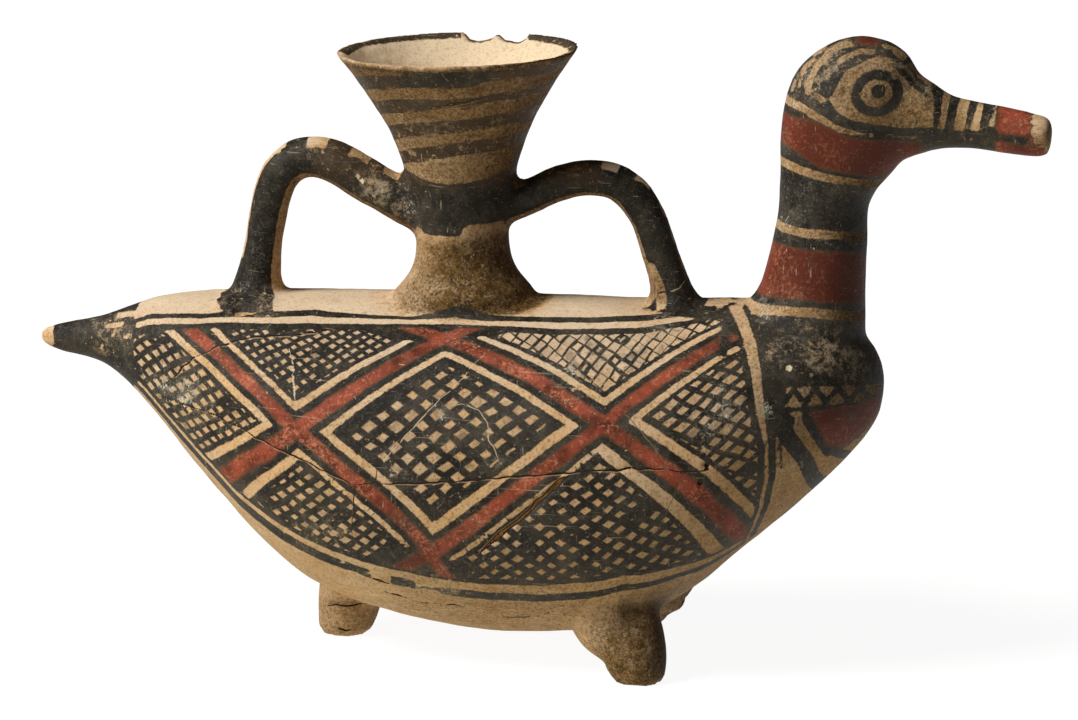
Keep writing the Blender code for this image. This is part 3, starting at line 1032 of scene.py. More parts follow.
# Cracks and pale scratches on the near side: the path as places along the body and heights, the width and
# the depth in mm, and how pale the line is
CRACKS = (
    (((-111.4, 75.8), (-101.9, 85.0), (-98.2, 88.9), (-91.3, 92.7), (-81.2, 96.1), (-61.9, 98.4),
      (-54.8, 99.6)), 0.62, 0.30, 0.0),
    (((-111.4, 75.8), (-99.5, 75.1), (-90.4, 74.2), (-79.9, 71.2), (-75.6, 69.4), (-66.7, 66.7),
      (-49.8, 60.5), (-45.3, 58.8)), 0.62, 0.30, 0.0),
    (((-39.0, 59.5), (-16.9, 61.5), (6.4, 64.4), (16.8, 65.7), (26.6, 66.7), (34.9, 67.5), (45.7, 67.5),
      (49.1, 67.0), (55.3, 66.6), (57.0, 67.1)), 0.60, 0.40, 0.0),
    (((-45.3, 58.8), (-45.2, 53.6), (-46.3, 42.1)), 0.42, 0.20, 0.0),
    (((-45.3, 58.8), (-39.0, 59.5), (-38.6, 64.8)), 0.42, 0.20, 0.0),
    (((17.7, 65.2), (11.0, 59.1), (6.1, 53.6), (1.7, 49.7), (-3.5, 45.0), (-8.6, 39.2)), 1.70, 1.00, 0.0),
    (((32.4, 82.9), (35.5, 80.3), (39.3, 76.3), (42.3, 72.7), (44.9, 69.6), (45.9, 67.8)), 0.40, 0.20, 0.2),
    (((50.2, 66.4), (46.8, 56.6), (45.7, 54.4), (42.0, 45.1)), 0.34, 0.16, 0.1),
    (((44.7, 95.6), (49.6, 94.6), (52.3, 93.6), (56.8, 92.0), (59.9, 90.1)), 0.45, 0.20, 0.1),
    (((-7.8, 98.4), (-13.2, 93.4), (-15.3, 90.2), (-23.3, 82.3), (-36.8, 66.4)), 0.32, 0.10, 0.9),
    (((-68.4, 94.0), (-66.3, 89.0), (-64.6, 81.3)), 0.95, 0.25, 1.0),
    (((-69.8, 91.3), (-66.6, 88.2)), 0.50, 0.15, 1.0),
    (((-18.2, 82.6), (-14.2, 83.4), (-9.5, 81.7), (-6.9, 78.6), (-6.0, 73.9), (-3.7, 70.7),
      (-2.5, 66.9)), 0.34, 0.08, 0.8),
    (((17.9, 88.7), (14.9, 84.1)), 0.28, 0.08, 1.0),
    (((-35.0, 92.3), (-31.8, 92.2)), 0.55, 0.08, 1.0),
    (((-64.3, 37.5), (-62.2, 35.8)), 1.00, 0.60, 0.0),
    (((-40.9, 28.6), (-38.5, 27.9), (-36.3, 27.2)), 2.00, 1.00, 0.0),
    (((-40.5, 24.8), (-38.5, 23.9), (-32.6, 22.3), (-27.7, 20.6)), 0.62, 0.35, 0.0),
    (((-28.9, 20.8), (-21.5, 20.8), (-12.7, 20.8)), 0.60, 0.30, 0.0),
    (((-5.3, 17.3), (1.8, 17.3), (8.5, 18.6), (13.7, 22.3), (18.1, 25.5)), 0.40, 0.20, 0.0),
    (((13.7, 22.3), (18.9, 25.5), (23.8, 29.0)), 0.35, 0.18, 0.0),
    (((-63.5, 9.6), (-60.0, 10.0), (-54.8, 10.6), (-50.5, 11.0), (-46.9, 11.4)), 0.55, 0.40, 0.0),
    (((-57.0, 2.9), (-55.5, 2.2), (-54.1, 2.7)), 2.20, 1.30, 0.0),
    (((-50.8, 26.7), (-51.8, 23.0), (-52.6, 19.6)), 0.35, 0.18, 0.0),
    (((120.4, 167.4), (120.2, 163.6), (119.9, 158.5)), 0.35, 0.20, 0.0),
    (((34.8, 110.4), (38.0, 111.4), (40.6, 112.0)), 0.80, 0.50, 0.0),
    (((39.6, 111.7), (41.6, 112.3), (43.5, 113.2), (44.6, 114.9)), 0.90, 0.30, 0.8),
    (((-70.0, 150.8), (-69.4, 146.8), (-69.6, 142.1)), 0.40, 0.25, 0.0),
    (((-85.7, 111.6), (-83.2, 111.4), (-81.0, 111.4)), 0.35, 0.18, 0.3),
    (((-27.2, 166.7), (-19.5, 168.5), (-11.2, 170.5)), 0.90, 0.30, 0.0),
    (((-24.4, 178.0), (-22.6, 175.8), (-21.6, 173.4)), 0.35, 0.15, 0.7),
)

# Small pits, with no direction, half a width and a depth
PITS = ((55.1, 63.3), (66.0, 98.6), (56.9, 68.6), (51.2, 94.8))
PIT_ROW = (0.0, 0.0, 0.7, 0.9, 0.0)

# How the cracks are followed, how far they act and where the faces are split for them, in mm
CRACK_SPACING = 0.25
CRACK_STRAY = 0.45
CRACK_BLUR = 0.7
SKIN_REACH = 1.4
CRACK_REACH = 4.0
SPLIT_REACHES = (0.9, 0.4)
SHALLOW = 0.15

# Pale crust and worn patches on the near side: along the body, height, radius in mm, strength
CRUST_SPOTS = (
    (-46.0, 137.0, 6.0, 0.6),
    (-38.0, 132.0, 5.0, 0.7),
    (-31.0, 30.0, 5.0, 0.7),
    (2.0, 24.0, 5.0, 0.5),
    (-62.0, 33.0, 5.0, 0.6),
    (-107.0, 79.4, 6.0, 1.0),
    (-100.2, 78.0, 6.5, 1.0),
    (-93.2, 75.5, 5.0, 0.7),
    (-21.0, 80.6, 4.5, 0.9),
    (-33.0, 63.2, 4.0, 0.8),
    (-3.9, 68.3, 4.5, 0.7),
    (15.8, 92.4, 5.5, 0.8),
    (8.0, 95.4, 4.5, 0.6),
    (60.0, 89.1, 4.5, 0.8),
    (61.7, 83.9, 5.5, 0.9),
    (56.5, 78.6, 5.0, 0.8),
    (72.8, 84.1, 3.5, 1.0),
    (69.2, 109.0, 5.0, 0.9),
    (67.6, 103.9, 4.0, 0.6),
    (78.1, 102.0, 5.0, 0.7),
    (74.0, 134.6, 4.0, 0.8),
    (78.6, 138.0, 4.0, 0.5),
    (74.0, 60.0, 3.5, 0.7),
    (-20.0, 100.0, 6.0, 0.6),
    (40.0, 104.0, 5.0, 0.8),
)
WORN_SPOTS = (
    (-90.0, 103.0, 6.0, 0.5),
    (-79.0, 104.0, 5.0, 0.8),
    (86.0, 184.0, 8.0, 0.8),
    (108.5, 181.0, 6.0, 0.9),
    (113.5, 175.5, 5.0, 0.9),
    (-128.0, 93.0, 9.0, 0.8),
    (-52.0, 44.0, 8.0, 0.6),
    (-48.0, 138.0, 8.0, 0.9),
    (-40.0, 133.0, 6.0, 0.8),
    (-67.0, 151.0, 6.0, 0.7),
    (88.0, 98.7, 8.0, 1.0),
    (97.5, 93.5, 5.0, 0.9),
    (74.4, 99.2, 5.0, 0.7),
    (82.0, 105.0, 6.0, 0.6),
    (-10.0, 52.0, 8.0, 0.5),
    (-20.0, 26.0, 9.0, 0.8),
    (-60.0, 42.0, 9.0, 0.6),
    (20.0, 90.0, 10.0, 0.4),
    (-95.0, 74.0, 9.0, 0.5),
    (58.0, 74.0, 8.0, 0.5),
    (79.0, 179.0, 8.0, 0.9),
    (128.0, 166.0, 5.0, 0.5),
    (-30.0, 160.0, 14.0, 0.5),
)


class Cracks:
    """Places close together along the cracks, on the skin's near side, with direction and sizes."""

    def __init__(self, points):
        skin = KDTree(len(points))
        for index in np.flatnonzero(points[:, 1] < 0.0):
            skin.insert((points[index, 0], 0.0, points[index, 2]), int(index))
        skin.balance()
        self.places = []
        self.rows = []
        for path, width, depth, pale in CRACKS:
            path = np.array(path)
            gaps = np.hypot(*np.diff(path, axis=0).T)
            passed = np.concatenate(([0.0], np.cumsum(gaps)))
            reaches = np.arange(0.0, passed[-1], CRACK_SPACING)
            flat = np.stack([np.interp(reaches, passed, column) for column in path.T], axis=1)
            for place in flat:
                stray = noise.noise_vector(Vector((place[0], 3.0, place[1])) / 3.0)
                place += np.array((stray.x, stray.z)) * CRACK_STRAY
            ways = np.gradient(flat, axis=0)
            ways /= np.linalg.norm(ways, axis=1)[:, None]
            for reach, place, way in zip(reaches, flat, ways):
                swell = 0.85 + 0.6 * noise.noise(Vector((place[0], 9.0, place[1])) / 4.0)
                taper = min(1.0, 0.3 + reach / 6.0, 0.3 + (passed[-1] - reach) / 6.0)
                sizes = (width * swell * taper / 2, depth * swell * taper, pale)
                self.keep(points, skin, place, (*way, *sizes))
        for place in PITS:
            self.keep(points, skin, place, PIT_ROW)
        self.places = np.array(self.places)
        self.rows = np.array(self.rows)
        self.tree = KDTree(len(self.places))
        for index, place in enumerate(self.places):
            self.tree.insert(place, index)
        self.tree.balance()

    def keep(self, points, skin, place, row):
        """Sets a place down on the outermost skin of the near side there."""
        found = skin.find_range((place[0], 0.0, place[1]), SKIN_REACH)
        if found:
            out = min(points[index, 1] for _, index, _ in found)
            self.places.append((place[0], out, place[1]))
            self.rows.append(row)

    def near(self, point):
        """Which place on a crack is nearest, and how far away it is."""
        _, index, gap = self.tree.find(point)
        return index, gap

    def around(self, points):
        """Distance across the nearest crack, plain distance, half width, depth and paleness."""
        found = np.zeros((len(points), 5))
        found[:, :2] = FAR_AWAY
        for row in np.flatnonzero(points[:, 1] < 0.0):
            index, gap = self.near(points[row])
            if gap > CRACK_REACH:
                continue
            way_x, way_z, half, depth, pale = self.rows[index]
            off_x, _, off_z = points[row] - self.places[index]
            flat_gap = math.hypot(off_x, off_z)
            is_pit = way_x == 0.0 and way_z == 0.0
            across = flat_gap if is_pit else way_x * off_z - way_z * off_x
            beyond = 0.0 if is_pit else max(abs(way_x * off_x + way_z * off_z) - CRACK_SPACING, 0.0)
            found[row] = (across, flat_gap, half - beyond, depth, pale)
        return found


def refine_near_cracks(mesh, cracks):
    """Splits the faces beside the cracks so that the cracks can be cut into them."""
    form = bmesh.new()
    form.from_mesh(mesh)
    for reach in SPLIT_REACHES:
        near = set()
        for vertex in form.verts:
            if vertex.co.y < 0.0:
                index, gap = cracks.near(vertex.co / MM)
                _, _, half, depth, _ = cracks.rows[index]
                if gap < reach + half and depth > SHALLOW:
                    near.add(vertex)
        edges = [edge for edge in form.edges if edge.verts[0] in near and edge.verts[1] in near]
        bmesh.ops.subdivide_edges(form, edges=edges, cuts=1, use_grid_fill=True)
    bmesh.ops.triangulate(form, faces=form.faces)
    form.to_mesh(mesh)
    form.free()


# Clay pressed round the rear handle's foot and its gap, the front handle's blob, and flakes off the rear
# handle: place in mm, radius, how far the clay rises
PRESSED_CLAY = (
    ((-91.0, -12.0, 103.0), 6.5, 1.3),
    ((-81.0, -12.5, 104.0), 6.0, 0.9),
    ((-86.5, -17.0, 101.2), 3.0, -2.6),
    ((-83.0, -16.6, 101.8), 2.6, -2.4),
    ((-90.2, -17.8, 100.4), 1.7, -0.9),
    ((-80.8, -13.5, 102.6), 1.5, -0.8),
    ((44.0, -8.5, 108.5), 4.5, 0.8),
    ((-53.0, -6.8, 141.2), 1.9, -0.5),
    ((-51.4, -7.0, 139.6), 1.5, -0.4),
    ((78.4, -28.2, 95.2), 1.7, -0.5),
    ((17.0, -35.0, 20.0), 7.0, 0.5),
    ((22.0, -33.0, 13.0), 8.0, 0.5),
    ((28.0, -40.0, 14.0), 4.0, 0.2),
    ((31.0, -38.0, 6.0), 5.0, 1.2),
    ((36.0, -37.0, 22.0), 6.0, -1.8),
    ((38.0, -38.0, 15.0), 4.0, -0.4),
    ((38.0, 37.0, 8.0), 6.5, 3.6),
    ((-55.6, -6.4, 2.4), 1.8, -1.5),
    ((-64.2, -3.6, 13.0), 4.0, -0.6),
    ((-42.0, -41.5, 24.0), 9.0, 0.3),
)


def press_clay(points, normals):
    """Raises and hollows the clay where a thumb pressed it or a flake came off."""
    for place, reach, rise in PRESSED_CLAY:
        distance = np.linalg.norm(points - np.array(place), axis=1)
        points += normals * (rise * (1 - soft_step(distance, reach * 0.3, reach)))[:, None]
    return points


def round_toes(points):
    """Rounds the lower edge of each foot, which stays flat where it stands."""
    reach = TOE_ROUNDING
    down = np.clip(1 - points[:, 2] / reach, 0.0, 1.0)
    for _, x, y, _, _ in FEET:
        middle = np.array((x, y)) / MM
        off = points[:, :2] - middle
        radius = np.hypot(*off.T)
        inward = reach * (1 - np.sqrt(1 - down * down)) * TOE_SHARE
        share = np.where(radius < TOE_REACH, 1 - inward / TOE_RADIUS, 1.0)
        points[:, :2] = middle + off * share[:, None]
    return points


def shape_surface(mesh):
    """The potter's unevenness, the rim's break, the pressed clay and the cracks, as real relief."""
    points = points_of(mesh)
    normals = normals_of(mesh)
    points = even_lip(points)
    low = soft_step(points[:, 2], 0.5, 6.0)
    rolled = soft_step(points[:, 2], 106.0, 112.0) * soft_step(60.0 - points[:, 0], 0.0, 10.0)
    fine = 0.16 * ripple(points, 8.0, 2) + 0.05 * ripple(points, 3.0, 3)
    push = 0.38 * ripple(points, 27.0, 1) + fine * (1 + 0.9 * rolled)
    points += normals * (push * low)[:, None]
    points = press_clay(points, normals)
    points = round_toes(points)
    points = chip_rim(points)
    put_points(mesh, points)
    cracks = Cracks(points)
    refine_near_cracks(mesh, cracks)
    points = points_of(mesh)
    normals = normals_of(mesh)
    across, gap, half, depth, _ = cracks.around(points).T
    distance = np.maximum(abs(across), gap - CRACK_BLUR)
    sunk = depth * (1 - soft_step(distance, half * 0.4, np.maximum(half, 0.0) + 0.25))
    points -= normals * sunk[:, None]
    points[:, 2] = np.where(points[:, 2] < GROUND_GRIP / MM, 0.0, points[:, 2])
    put_points(mesh, points)
    return cracks


def funnel_point(height, radius, angle):
    """Points from their height up the funnel's leaning axis, distance from it and angle round it."""
    across = radius * np.cos(angle)
    x = across * math.cos(FUNNEL_LEAN) - height * math.sin(FUNNEL_LEAN) + FUNNEL_X / MM
    z = across * math.sin(FUNNEL_LEAN) + height * math.cos(FUNNEL_LEAN) + FUNNEL_FOOT_Z / MM
    return np.stack((x, radius * np.sin(angle), z), axis=1)


def even_lip(points):
    """Brings the thin lip back to its turned, rounded shape after the skin was grown."""
    height, radius, angle = funnel_place(points)
    top = FUNNEL_HEIGHT / MM
    rise = np.clip((height * MM - STEM_HEIGHT) / (FUNNEL_HEIGHT - STEM_HEIGHT), 0.0, 1.0)
    half = (MOUTH_WALL - LIP_THINNING * rise**LIP_POWER) / 2 / MM
    middle = funnel_radius(np.minimum(height, top)) - half
    aside = (radius - middle) / half
    above = np.maximum(height - top + LIP_DEPTH, 0.0) / LIP_DEPTH
    reach = np.maximum((abs(aside) ** LIP_SQUARENESS + above**LIP_SQUARENESS) ** (1 / LIP_SQUARENESS), TINY)
    share = soft_step(height, top - 14.0, top - 9.0) * soft_step(46.0 - radius, 0.0, 2.0)
    new_height = np.where(above > 0, top - LIP_DEPTH + above / reach * LIP_DEPTH, height)
    new_rise = np.clip((new_height * MM - STEM_HEIGHT) / (FUNNEL_HEIGHT - STEM_HEIGHT), 0.0, 1.0)
    new_half = (MOUTH_WALL - LIP_THINNING * new_rise**LIP_POWER) / 2 / MM
    new_radius = funnel_radius(np.minimum(new_height, top)) - new_half + aside / reach * new_half
    moved = funnel_point(new_height, new_radius, angle)
    return points + (moved - points) * share[:, None]


# Broken far side of the rim: place across and depth in mm
RIM_BREAK = (
    (-3.4, 0.0), (-2.7, 1.7), (-1.0, 2.6), (2.4, 2.7), (4.6, 2.1), (6.0, 0.9), (7.4, 0.8), (8.6, 1.9),
    (10.2, 2.6), (14.0, 2.6), (15.8, 1.6), (16.8, 0.0),
)


def broken(across, angle):
    """How deep the far rim is broken away at each place across."""
    return np.where(angle > 0, np.interp(across, *np.array(RIM_BREAK).T), 0.0)


def chip_rim(points):
    """Lowers the rim where it is broken and lets it wave a little elsewhere."""
    height, radius, angle = funnel_place(points)
    near_rim = (height > FUNNEL_HEIGHT / MM - 8.0) & (radius < 45.0)
    top = FUNNEL_HEIGHT / MM - 0.12 + 0.1 * np.sin(angle * 3 + 0.8) + 0.08 * ripple(points, 2.5, 8)
    deep = broken(radius * np.cos(angle), angle)
    top -= deep * (1 + 0.25 * ripple(points, 2.0, 9))
    over = np.where(near_rim, np.maximum(height - top, 0.0), 0.0)
    return np.where(over[:, None] > 0, funnel_point(height - over, radius, angle), points)


class Brushwork:
    """The painted fields of every point, in millimetres, where above zero is inside the paint."""

    def __init__(self, points, lines):
        count = len(points)
        self.black = np.full(count, -FAR_AWAY)
        self.red = np.full(count, -FAR_AWAY)
        self.trellis = np.full(count, -FAR_AWAY)
        self.steps = np.zeros((count, 3))
        stray = 0.40 * wander(points, 14.0, 1) + 0.16 * wander(points, 4.5, 2)
        self.points = points + stray
        self.x, self.y, self.z = self.points.T
        self.side_view = self.points[:, (0, 2)]
        self.lines = lines
        middle, self.half_height, self.half_width = lines.at(self.x)
        self.girth = np.arctan2((self.z - middle) / self.half_height, abs(self.y) / self.half_width)
        self.per_angle = np.hypot(
            self.half_width * np.sin(self.girth), self.half_height * np.cos(self.girth)
        )

    def lay_black(self, area):
        self.black = np.maximum(self.black, area)
        self.red = np.minimum(self.red, -area)
        self.trellis = np.minimum(self.trellis, -area)

    def lay_red(self, area):
        """Red goes over a black ground that shows a little beyond it."""
        self.red = np.maximum(self.red, area)
        self.black = np.maximum(self.black, area + RED_GROUND)
        self.trellis = np.minimum(self.trellis, -area)

    def leave_bare(self, area):
        self.black = np.minimum(self.black, -area)
        self.red = np.minimum(self.red, -area)
        self.trellis = np.minimum(self.trellis, -area)

    def open_trellis(self, area):
        self.trellis = np.maximum(self.trellis, area)

    def across_band(self, band):
        """Place of a band at each point's girth, and each point's distance from it."""
        row, low, high = band
        held = np.clip(self.girth, low, high)
        slope = np.polyval(np.polyder(row), held)
        place = np.polyval(row, held) + slope * (self.girth - held)
        _, half_height, half_width = self.lines.at(place)
        per_angle = np.hypot(half_width * np.sin(self.girth), half_height * np.cos(self.girth))
        return place, (self.x - place) / np.sqrt(1 + (slope / per_angle) ** 2)


def past_breast_line(work):
    """How far each point is before the breast line's middle, and the line's width there."""
    place, width = line_rows(BREAST_LINE, np.degrees(work.girth))
    return (work.x - place) * BREAST_SLANT, width


def line_rows(rows, key):
    """Values of a line's table at each key, straight between its rows."""
    table = np.array(rows)
    return [np.interp(key, table[:, 0], column) for column in table[:, 1:].T]


def frame_widths(distances):
    """Width of the buff frame of the nearest band at each point, by the side and the place it lies on."""
    d1, d2, d3, d4 = distances
    others = (d3, d4, d1, d2)
    widths = []
    for distance, other, (before, after) in zip(distances, others, FRAME_WIDTHS):
        first = np.where(other < 0, before[0], before[1])
        second = np.where(other < 0, after[0], after[1])
        widths.append(np.where(distance < 0, first, second))
    nearest = np.argmin(np.abs(distances), axis=0)
    return np.take_along_axis(np.array(widths), nearest[None, :], axis=0)[0]


def straight_steps(work, falling, rising, slopes=(1.0, 1.0)):
    """Distances from two bands' straight run through their crossing, their slopes scaled if asked."""
    (row_1, *_), (row_2, *_) = falling, rising
    angles = np.linspace(*CROSSING_SEARCH)
    crossing = angles[np.argmin(abs(np.polyval(row_1, angles) - np.polyval(row_2, angles)))]
    place = np.polyval(row_1, crossing)
    _, half_height, half_width = work.lines.at(place)
    reach = (half_height + half_width) / 2
    unrolled = (work.half_height + work.half_width) / 2 * (work.girth - crossing)
    across = work.x - place
    steps = []
    for row, share in zip((row_1, row_2), slopes):
        slope = np.polyval(np.polyder(row), crossing) * share
        steps.append((across * reach - unrolled * slope) / math.hypot(reach, slope))
    return steps


def paint_body(work):
    """Bands, frames, trellis and border lines over both sides of the body."""
    on_body = both(109.0 - work.z, work.x + 124.0)
    high, high_width, over = line_rows(BACK_LINE, work.x)
    low, low_width, under = line_rows(BELLY_LINE, work.x)
    from_back = (np.radians(high) - work.girth) * work.per_angle
    from_belly = (work.girth - np.radians(low)) * work.per_angle
    place, width = line_rows(BREAST_LINE, np.degrees(work.girth))
    from_breast = (place - work.x) * BREAST_SLANT
    outer = both(
        from_back + high_width / 2 + over,
        from_belly + low_width / 2 + under,
        from_breast + width / 2 + BREAST_LINE_BLACK,
        on_body,
    )
    work.lay_black(outer)
    behind = both(from_breast - width / 2 - 1.2, on_body)
    work.leave_bare(both(line(from_back, high_width), behind, work.x + 119.0))
    work.leave_bare(both(line(from_belly, low_width), behind, work.x + 118.0))
    work.leave_bare(both(line(from_breast, width), 107.5 - work.z, from_belly + 3.0))
    rubbed = 2.0 * ripple(work.points, 4.0, 12) + 0.9 * ripple(work.points, 1.5, 13)
    rubbed += 0.4 - abs(work.x + 30.0) / 18.0
    work.leave_bare(both(rubbed, -from_belly - low_width / 2 + 0.6, -work.y))
    inner = both(
        from_back - high_width / 2 - BACK_LINE_BLACK,
        from_belly - low_width / 2 - BELLY_LINE_BLACK,
        from_breast - width / 2 - BREAST_LINE_BLACK,
        work.x + 119.0,
        on_body,
    )
    falling_rear, d1 = work.across_band(FALLING_BAND_REAR)
    falling_front, d2 = work.across_band(FALLING_BAND_FRONT)
    rising_rear, d3 = work.across_band(RISING_BAND_REAR)
    rising_front, d4 = work.across_band(RISING_BAND_FRONT)
    distances = np.array((d1, d2, d3, d4))
    nearest = abs(distances).min(axis=0)
    frame_width = frame_widths(distances)
    p = (work.x - falling_rear) / (falling_front - falling_rear)
    q = (work.x - rising_rear) / (rising_front - rising_rear)
    in_middle = (p >= 0) & (p < 1) & (q >= 0) & (q < 1)
    gap = np.where(in_middle, MIDDLE_GAP, TRELLIS_GAP)
    work.open_trellis(both(nearest - FRAME_START - frame_width - gap, inner))
    middle_of_frame = FRAME_START + frame_width / 2
    closest = np.argmin(abs(distances), axis=0)
    beyond_top = ((closest == 1) & (p < 1) & (q < 0)) | ((closest == 2) & (p >= 1))
    beyond_low = ((closest == 3) & (p < 0)) | ((closest == 0) & (q >= 1))
    framed = np.where(beyond_top | beyond_low, -1.0, FAR_AWAY)
    work.leave_bare(both(line(nearest - middle_of_frame, frame_width), inner + 0.8, framed))
    uneven = 0.35 * ripple(work.points, 9.0, 5)
    work.lay_red(both(RED_HALF + uneven - nearest, inner + 1.2))
    along_1, along_3 = straight_steps(work, FALLING_BAND_REAR, RISING_BAND_REAR)
    along_2, along_4 = straight_steps(work, FALLING_BAND_FRONT, RISING_BAND_FRONT)
    steep_2, steep_4 = straight_steps(work, FALLING_BAND_FRONT, RISING_BAND_FRONT, STEEPER)
    fields = (
        ("middle", in_middle, p * MIDDLE_ACROSS, q * MIDDLE_ACROSS),
        ("upper rear", (p >= 0) & (p < 1) & (q < 0), along_1, along_3),
        ("tail", (p < 0) & (q < 0), along_1, along_3),
        ("lower rear", (p < 0) & (q >= 0), along_1, along_3),
        ("upper front", (p >= 1) & (q < 1), steep_2, steep_4),
        ("right", (p >= 1) & (q >= 1), along_2, along_4),
        ("lower front", (p < 1) & (q >= 1), along_2, along_4),
    )
    for name, here, along, across in fields:
        pitch, other_pitch, share = TRELLIS_FIELDS[name]
        share = np.full(len(along), share)
        if share[0] > OPEN_SHARE:
            share -= OPEN_SHARE_LOSS * (1 - soft_step(work.z, 84.0, 91.0))
        rows = (along[here] / pitch, across[here] / other_pitch, share[here])
        work.steps[here] = np.stack(rows, axis=1)


# Where the black of the tail begins and ends, and its worn dashes: along the body, height, length in mm
TAIL_END = -120.2
TAIL_TIP = -146.3
TAIL_DASHES = ((-123.0, 96.5, 7.0), (-126.5, 93.2, 6.0), (-121.5, 91.0, 3.0))
DASH_SLANT = 0.25
DASH_WIDTH = 1.3


def paint_tail(work):
    """Black tail with worn dashes and a bare tip."""
    work.lay_black(both(TAIL_END - work.x, 108.0 - work.z))
    work.leave_bare(TAIL_TIP - work.x + 0.8 * ripple(work.points, 5.0, 7))
    for x, z, length in TAIL_DASHES:
        off_middle = work.z - z - DASH_SLANT * (work.x - x)
        work.leave_bare(both(line(off_middle, DASH_WIDTH), length / 2 - abs(work.x - x)))


# Short bar across the back, place and width, and the stroke that leads to it, in mm
BACK_BAR = (58.8, 2.6)
BACK_STROKE = ((45.0, 106.8), (52.0, 106.4), (57.0, 107.4))


def paint_back(work):
    """A short bar across the back before the neck, and blocks of black round it."""
    side = abs(work.y)
    on_back = both(110.5 - work.z, work.z - 98.0)
    bar_x, bar_width = BACK_BAR
    work.lay_black(both(line(work.x - bar_x, bar_width), on_back, side - 2.0))
    gap, _ = from_path(work.side_view, BACK_STROKE)
    work.lay_black(both(line(gap, 1.4), side - 6.0, 57.5 - work.x))
    before, width = past_breast_line(work)
    top = both(work.z - 103.0, 108.9 - work.z, side - 5.0)
    work.lay_black(both(line(before, width + 4.2), top))
    work.leave_bare(both(line(before, width), top))


# The breast: the zigzag row's height, pitch and start, the red patch's corners, and the stripes, each with
# its path and half width in mm
ZIGZAG_LOW = 85.4
ZIGZAG_HEIGHT = 4.4
ZIGZAG_PITCH = 6.1
ZIGZAG_START = 80.2
ZIGZAG_SLANT = 0.72
ZIGZAG_HALF = 1.05
BREAST_SAG = 4.5
BREAST_RED = ((85.0, 83.0), (104.5, 83.2), (103.2, 77.5), (95.0, 70.2), (90.5, 69.5), (87.5, 76.5))
BREAST_STRIPES = (
    (((76.9, 79.5), (79.8, 74.8), (83.8, 67.9), (87.1, 56.0)), 2.3),
    (((83.5, 81.5), (86.8, 75.6), (90.0, 69.0)), 1.3),
    (((91.5, 69.5), (96.5, 64.0)), 1.6),
    (((73.5, 84.0), (79.0, 80.5)), 2.0),
)


def paint_breast(work):
    """Mottled black breast with a zigzag row, a red patch and stripes over the plain clay."""
    before, width = past_breast_line(work)
    before -= width / 2
    around = both(before, 109.5 - work.z)
    work.lay_black(both(around, work.z - 83.4))
    level = work.z + BREAST_SAG * (1 - np.clip(abs(work.y) / 28.0, 0.0, 1.0))
    strip = both(level - 84.9, 90.3 - level, work.x - 78.0, before - 2.5)
    turn = abs(((work.x - ZIGZAG_START) / ZIGZAG_PITCH) % 1.0 - 0.5) * 2
    zigzag = (level - (ZIGZAG_LOW + ZIGZAG_HEIGHT * turn)) * ZIGZAG_SLANT
    work.leave_bare(both(strip, abs(zigzag) - ZIGZAG_HALF))
    work.lay_red(both(patch(work.side_view, BREAST_RED), before))
    for path, half in BREAST_STRIPES:
        gap, _ = from_path(work.side_view, path)
        work.lay_black(both(half - gap, before))
    work.lay_black(both(line(before - 1.1, 2.0), work.z - 52.0, 85.0 - work.z))
    work.lay_black(both(line(before - 3.9, 0.9), work.z - 66.0, 82.0 - work.z))


# Buff lines round the neck: place along the body, height of each of the three in mm
NECK_RINGS = (
    (65.0, 108.8, 133.8, 153.4),
    (73.0, 109.4, 133.0, 151.9),
    (78.5, 109.7, 132.3, 150.7),
    (84.5, 109.6, 132.3, 149.6),
    (91.6, 108.7, 131.9, 148.4),
    (97.5, 106.9, 130.4, 147.0),
)
NECK_LEVELS = (109.6, 132.0, 149.0)
NECK_RING_WIDTHS = (2.6, 2.4, 2.4)

# Black and red bands between them: low and high edge in mm, and whether it is red
NECK_BANDS = (
    (107.0, 109.0, False),
    (110.7, 113.0, False),
    (112.8, 127.6, True),
    (127.4, 131.0, False),
    (133.0, 148.0, False),
    (150.0, 155.0, False),
)


def neck_level(work):
    """Height on the neck as if its three painted rings were level."""
    low, middle, high = line_rows(NECK_RINGS, work.x)
    first, second, third = NECK_LEVELS
    lower = first + (work.z - low) / (middle - low) * (second - first)
    upper = second + (work.z - middle) / (high - middle) * (third - second)
    return np.where(work.z < middle, lower, upper)


def paint_neck(work):
    """Buff lines and black and red bands round the neck."""
    level = neck_level(work)
    on_neck = both(work.x - 54.0, work.z - 100.0)
    for low, high, is_red in NECK_BANDS:
        lay = work.lay_red if is_red else work.lay_black
        lay(both(level - low, high - level, on_neck))
    for middle, width in zip(NECK_LEVELS, NECK_RING_WIDTHS):
        work.leave_bare(both(line(level - middle, width), on_neck))


# Lines of the face, as places along the body and heights in mm, and the cheek line's width on its way
CHEEK_LINE = (
    (66.0, 171.0), (73.2, 170.2), (78.5, 169.3), (84.4, 166.6), (90.1, 163.9), (95.8, 162.5),
    (101.0, 162.2), (107.4, 161.5), (118.0, 160.9),
)
CHEEK_WIDTHS = (
    (73.0, 2.4), (84.0, 2.1), (95.0, 1.4), (100.5, 0.7), (103.0, 0.0), (106.0, 0.5), (117.0, 0.6),
)
MOUTH_LINE = ((86.9, 169.1), (90.0, 166.3), (99.4, 164.5), (107.4, 163.3), (120.7, 162.8), (134.7, 161.4))
FACE_FIELD = (
    (86.5, 172.2), (88.6, 177.2), (90.3, 180.4), (93.8, 182.2), (96.5, 183.8), (100.5, 185.2),
    (103.4, 184.3), (104.5, 181.3), (106.6, 179.3), (110.2, 175.8), (116.4, 171.3), (116.3, 164.6),
    (106.8, 164.3), (99.4, 165.7), (93.0, 167.1), (89.0, 169.2),
)
MOUTH_LINE_WIDTH = 2.0

